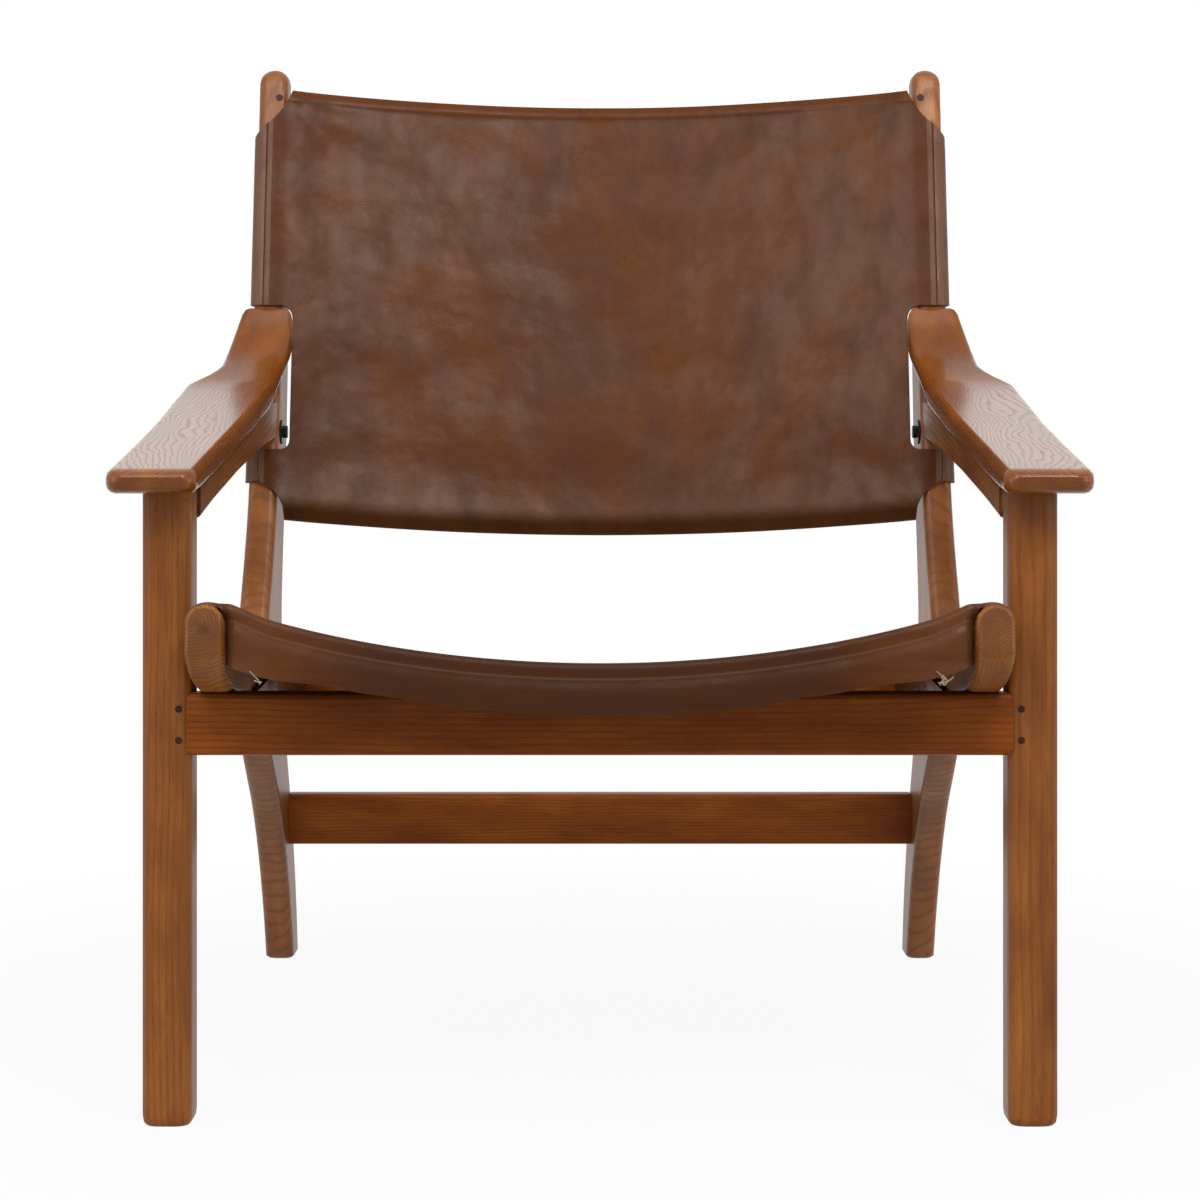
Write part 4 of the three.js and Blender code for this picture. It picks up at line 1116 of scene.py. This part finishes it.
def smoothed_copy(node, material):
    """A copy of a CAD piece with its points joined and its arrises shaded round."""
    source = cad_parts[node]
    mesh = source.data.copy()
    mesh.name = node
    piece = new_piece(node + "_finished", mesh)
    mesh.materials.clear()
    mesh.materials.append(material)
    shell = bmesh.new()
    shell.from_mesh(mesh)
    bmesh.ops.remove_doubles(shell, verts=shell.verts, dist=0.00001)
    bmesh.ops.dissolve_limit(shell, angle_limit=math.radians(0.1), verts=shell.verts, edges=shell.edges)
    shell.to_mesh(mesh)
    shell.free()
    mesh.shade_smooth()
    mesh.set_sharp_from_angle(angle=math.radians(38))
    weighted = piece.modifiers.new("Weighted", "WEIGHTED_NORMAL")
    weighted.keep_sharp = True
    apply_modifiers(piece)
    return piece


class CHAIR_OT_wood(bpy.types.Operator):
    """Finishes every wooden piece in oiled hardwood, with the grain along it"""

    bl_idname = "chair.wood"
    bl_label = "Wood"

    def execute(self, context):
        settings = context.scene.chair_wood
        tones = [tuple(colour) for colour in (settings.dark, settings.middle, settings.light, settings.line)]
        for name, (nodes, pith, turn, options) in WOODS.items():
            tint = (*options.get("tint", (1.0, 1.0, 1.0)), 1.0)
            stained = [tuple(value * share for value, share in zip(colour, tint)) for colour in tones]
            others = {key: value for key, value in options.items() if key != "tint"}
            material = wood(name, stained, pith, turn, **others)
            for node in nodes:
                settle(smoothed_copy(node, material), "oiled_wood", node)
        # Their end grain drank the stain, so they are near black and dull
        peg = plain("Dark hardwood pegs, end grain", "#2c1a10", 0.6, grit=0.0015, shine=0.2)
        plug = plain("Hardwood plugs, end grain", "#4c3024", 0.5, grit=0.0015, shine=0.2)
        for node in sorted(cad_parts):
            if node.startswith(("front_peg", "post_plug")):
                settle(smoothed_copy(node, peg if "peg" in node else plug), "dark_wood", node)
        return {"FINISHED"}


class CHAIR_OT_hardware(bpy.types.Operator):
    """Finishes the bolts, washers, nuts and screws in black steel"""

    bl_idname = "chair.hardware"
    bl_label = "Hardware"

    def execute(self, context):
        # Blackened steel: dark, with a satin glint on the arrises
        steel = plain("Blackened steel, turned", "#18181a", 0.42, 0.6)
        for node in sorted(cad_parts):
            if any(word in node for word in ("bolt", "washer", "nut", "screw")):
                settle(smoothed_copy(node, steel), "black_steel", node)
        return {"FINISHED"}


# Stage


# The photograph's size, in pixels, and how far its horizon lies over its middle
PHOTO_SIZE = 1200
HORIZON_RISE = 170

# Each lamp: its place, what it points at, its size in metres and its power in watts
LAMPS = {
    "Overhead softbox": ((0.0, -1.5, 2.75), (0, 0, 0.4), 1.9, 26),
    "Front softbox, left": ((-0.95, -2.1, 2.0), (0, 0, 0.6), 0.9, 17),
    "Front softbox, right": ((0.8, -2.1, 2.35), (0, 0, 0.6), 0.9, 26),
    "Side softbox, left": ((-2.4, -1.3, 1.2), (0, 0, 0.5), 1.2, 9),
    "Side softbox, right": ((2.4, -1.3, 1.2), (0, 0, 0.5), 1.2, 10),
}


class CHAIR_OT_stage(bpy.types.Operator):
    """Sets the floor, the light and the camera of a plain studio"""

    bl_idname = "chair.stage"
    bl_label = "Stage"

    def execute(self, context):
        scene = context.scene
        settings = scene.chair_stage
        floor_mesh = bpy.data.meshes.new("Floor")
        r = settings.sheet
        floor_mesh.from_pydata([(-r, -r, 0), (r, -r, 0), (r, r, 0), (-r, r, 0)], [], [(0, 1, 2, 3)])
        floor = new_piece("Floor", floor_mesh)
        floor_mesh.materials.append(floor_material())
        light_studio(scene)
        camera = bpy.data.cameras.new("Camera")
        camera.lens = settings.focal
        camera.sensor_width = 36
        camera.shift_y = -HORIZON_RISE / PHOTO_SIZE
        eye = new_piece("Camera", camera)
        eye.location = (0, LEG_FACE * MM - settings.distance, settings.height)
        eye.rotation_euler = (math.pi / 2, 0, 0)
        scene.camera = eye
        scene.view_settings.view_transform = "Standard"
        return {"FINISHED"}


def floor_material():
    """A matt pale sheet that shows the chair's shadow and turns to plain white away from the chair."""
    material, tree, shader = new_material("White studio floor")
    shader.inputs["Base Color"].default_value = (0.7, 0.7, 0.7, 1)
    shader.inputs["Roughness"].default_value = 0.9
    shader.inputs["Specular IOR Level"].default_value = 0.05
    spot = add(tree, "ShaderNodeTexCoord").outputs["Object"]
    far = add(tree, "ShaderNodeVectorMath", {0: spot}, operation="LENGTH").outputs["Value"]
    white = {"Value": far, "From Min": 0.45, "From Max": 1.1, "To Min": 0.92, "To Max": 1.0}
    white = add(tree, "ShaderNodeMapRange", white, interpolation_type="SMOOTHSTEP")
    share = add(tree, "ShaderNodeMath", {0: seen_directly(tree), 1: white}, operation="MULTIPLY")
    glow = add(tree, "ShaderNodeEmission", {"Color": (1, 1, 1, 1), "Strength": 1.0})
    both = add(tree, "ShaderNodeMixShader", {0: share, 1: shader, 2: glow})
    output = next(node for node in tree.nodes if node.type == "OUTPUT_MATERIAL")
    tree.links.new(both.outputs[0], output.inputs["Surface"])
    return material


def seen_directly(tree):
    """1 for rays from the camera, in a mirror or through glass."""
    path = add(tree, "ShaderNodeLightPath")
    rays = {0: path.outputs["Is Camera Ray"], 1: path.outputs["Is Glossy Ray"]}
    rays = {0: add(tree, "ShaderNodeMath", rays, operation="MAXIMUM"), 1: path.outputs["Is Transmission Ray"]}
    return add(tree, "ShaderNodeMath", rays, operation="MAXIMUM")


def light_studio(scene):
    """Lights the chair with soft lamps and a world that looks white and shines less."""
    world = bpy.data.worlds.new("Studio")
    scene.world = world
    world.use_nodes = True
    tree = world.node_tree
    tree.nodes.clear()
    seen = add(tree, "ShaderNodeBackground", {"Color": (1, 1, 1, 1), "Strength": 1.0})
    lit = add(tree, "ShaderNodeBackground", {"Color": (1, 1, 1, 1), "Strength": 0.36})
    both = add(tree, "ShaderNodeMixShader", {0: seen_directly(tree), 1: lit, 2: seen})
    add(tree, "ShaderNodeOutputWorld", {"Surface": both})
    for name, (place, aim, size, power) in LAMPS.items():
        lamp = bpy.data.lights.new(name, "AREA")
        lamp.energy = power
        lamp.size = size
        stand = new_piece(name, lamp)
        stand.location = place
        stand.rotation_euler = (Vector(aim) - Vector(place)).to_track_quat("-Z", "Y").to_euler()


class CHAIR_PT_pieces(bpy.types.Panel):
    """The chair's pieces, in the order in which they are built"""

    bl_label = "Sling chair"
    bl_idname = "CHAIR_PT_pieces"
    bl_space_type = "VIEW_3D"
    bl_region_type = "UI"
    bl_category = "Chair"

    def draw(self, context):
        for operator in OPERATORS:
            self.layout.operator(operator.bl_idname)
        scene = context.scene
        for group in (scene.chair_wood, scene.chair_leather, scene.chair_stitches, scene.chair_stage):
            box = self.layout.box()
            for name in group.bl_rna.properties.keys():
                if name not in ("rna_type", "name"):
                    box.prop(group, name)


OPERATORS = (
    CHAIR_OT_wood,
    CHAIR_OT_hardware,
    CHAIR_OT_back_sling,
    CHAIR_OT_seat_sling,
    CHAIR_OT_stitches,
    CHAIR_OT_stage,
)
CLASSES = (ChairWood, ChairLeather, ChairStitches, ChairStage, *OPERATORS, CHAIR_PT_pieces)


def register():
    for entry in CLASSES:
        bpy.utils.register_class(entry)
    bpy.types.Scene.chair_wood = PointerProperty(type=ChairWood)
    bpy.types.Scene.chair_leather = PointerProperty(type=ChairLeather)
    bpy.types.Scene.chair_stitches = PointerProperty(type=ChairStitches)
    bpy.types.Scene.chair_stage = PointerProperty(type=ChairStage)


def unregister():
    del bpy.types.Scene.chair_stage
    del bpy.types.Scene.chair_stitches
    del bpy.types.Scene.chair_leather
    del bpy.types.Scene.chair_wood
    for entry in reversed(CLASSES):
        bpy.utils.unregister_class(entry)


def main():
    register()
    bpy.ops.chair.wood()
    bpy.ops.chair.hardware()
    bpy.ops.chair.back_sling()
    bpy.ops.chair.seat_sling()
    bpy.ops.chair.stitches()
    bpy.ops.chair.stage()


if __name__ == "__main__":
    main()
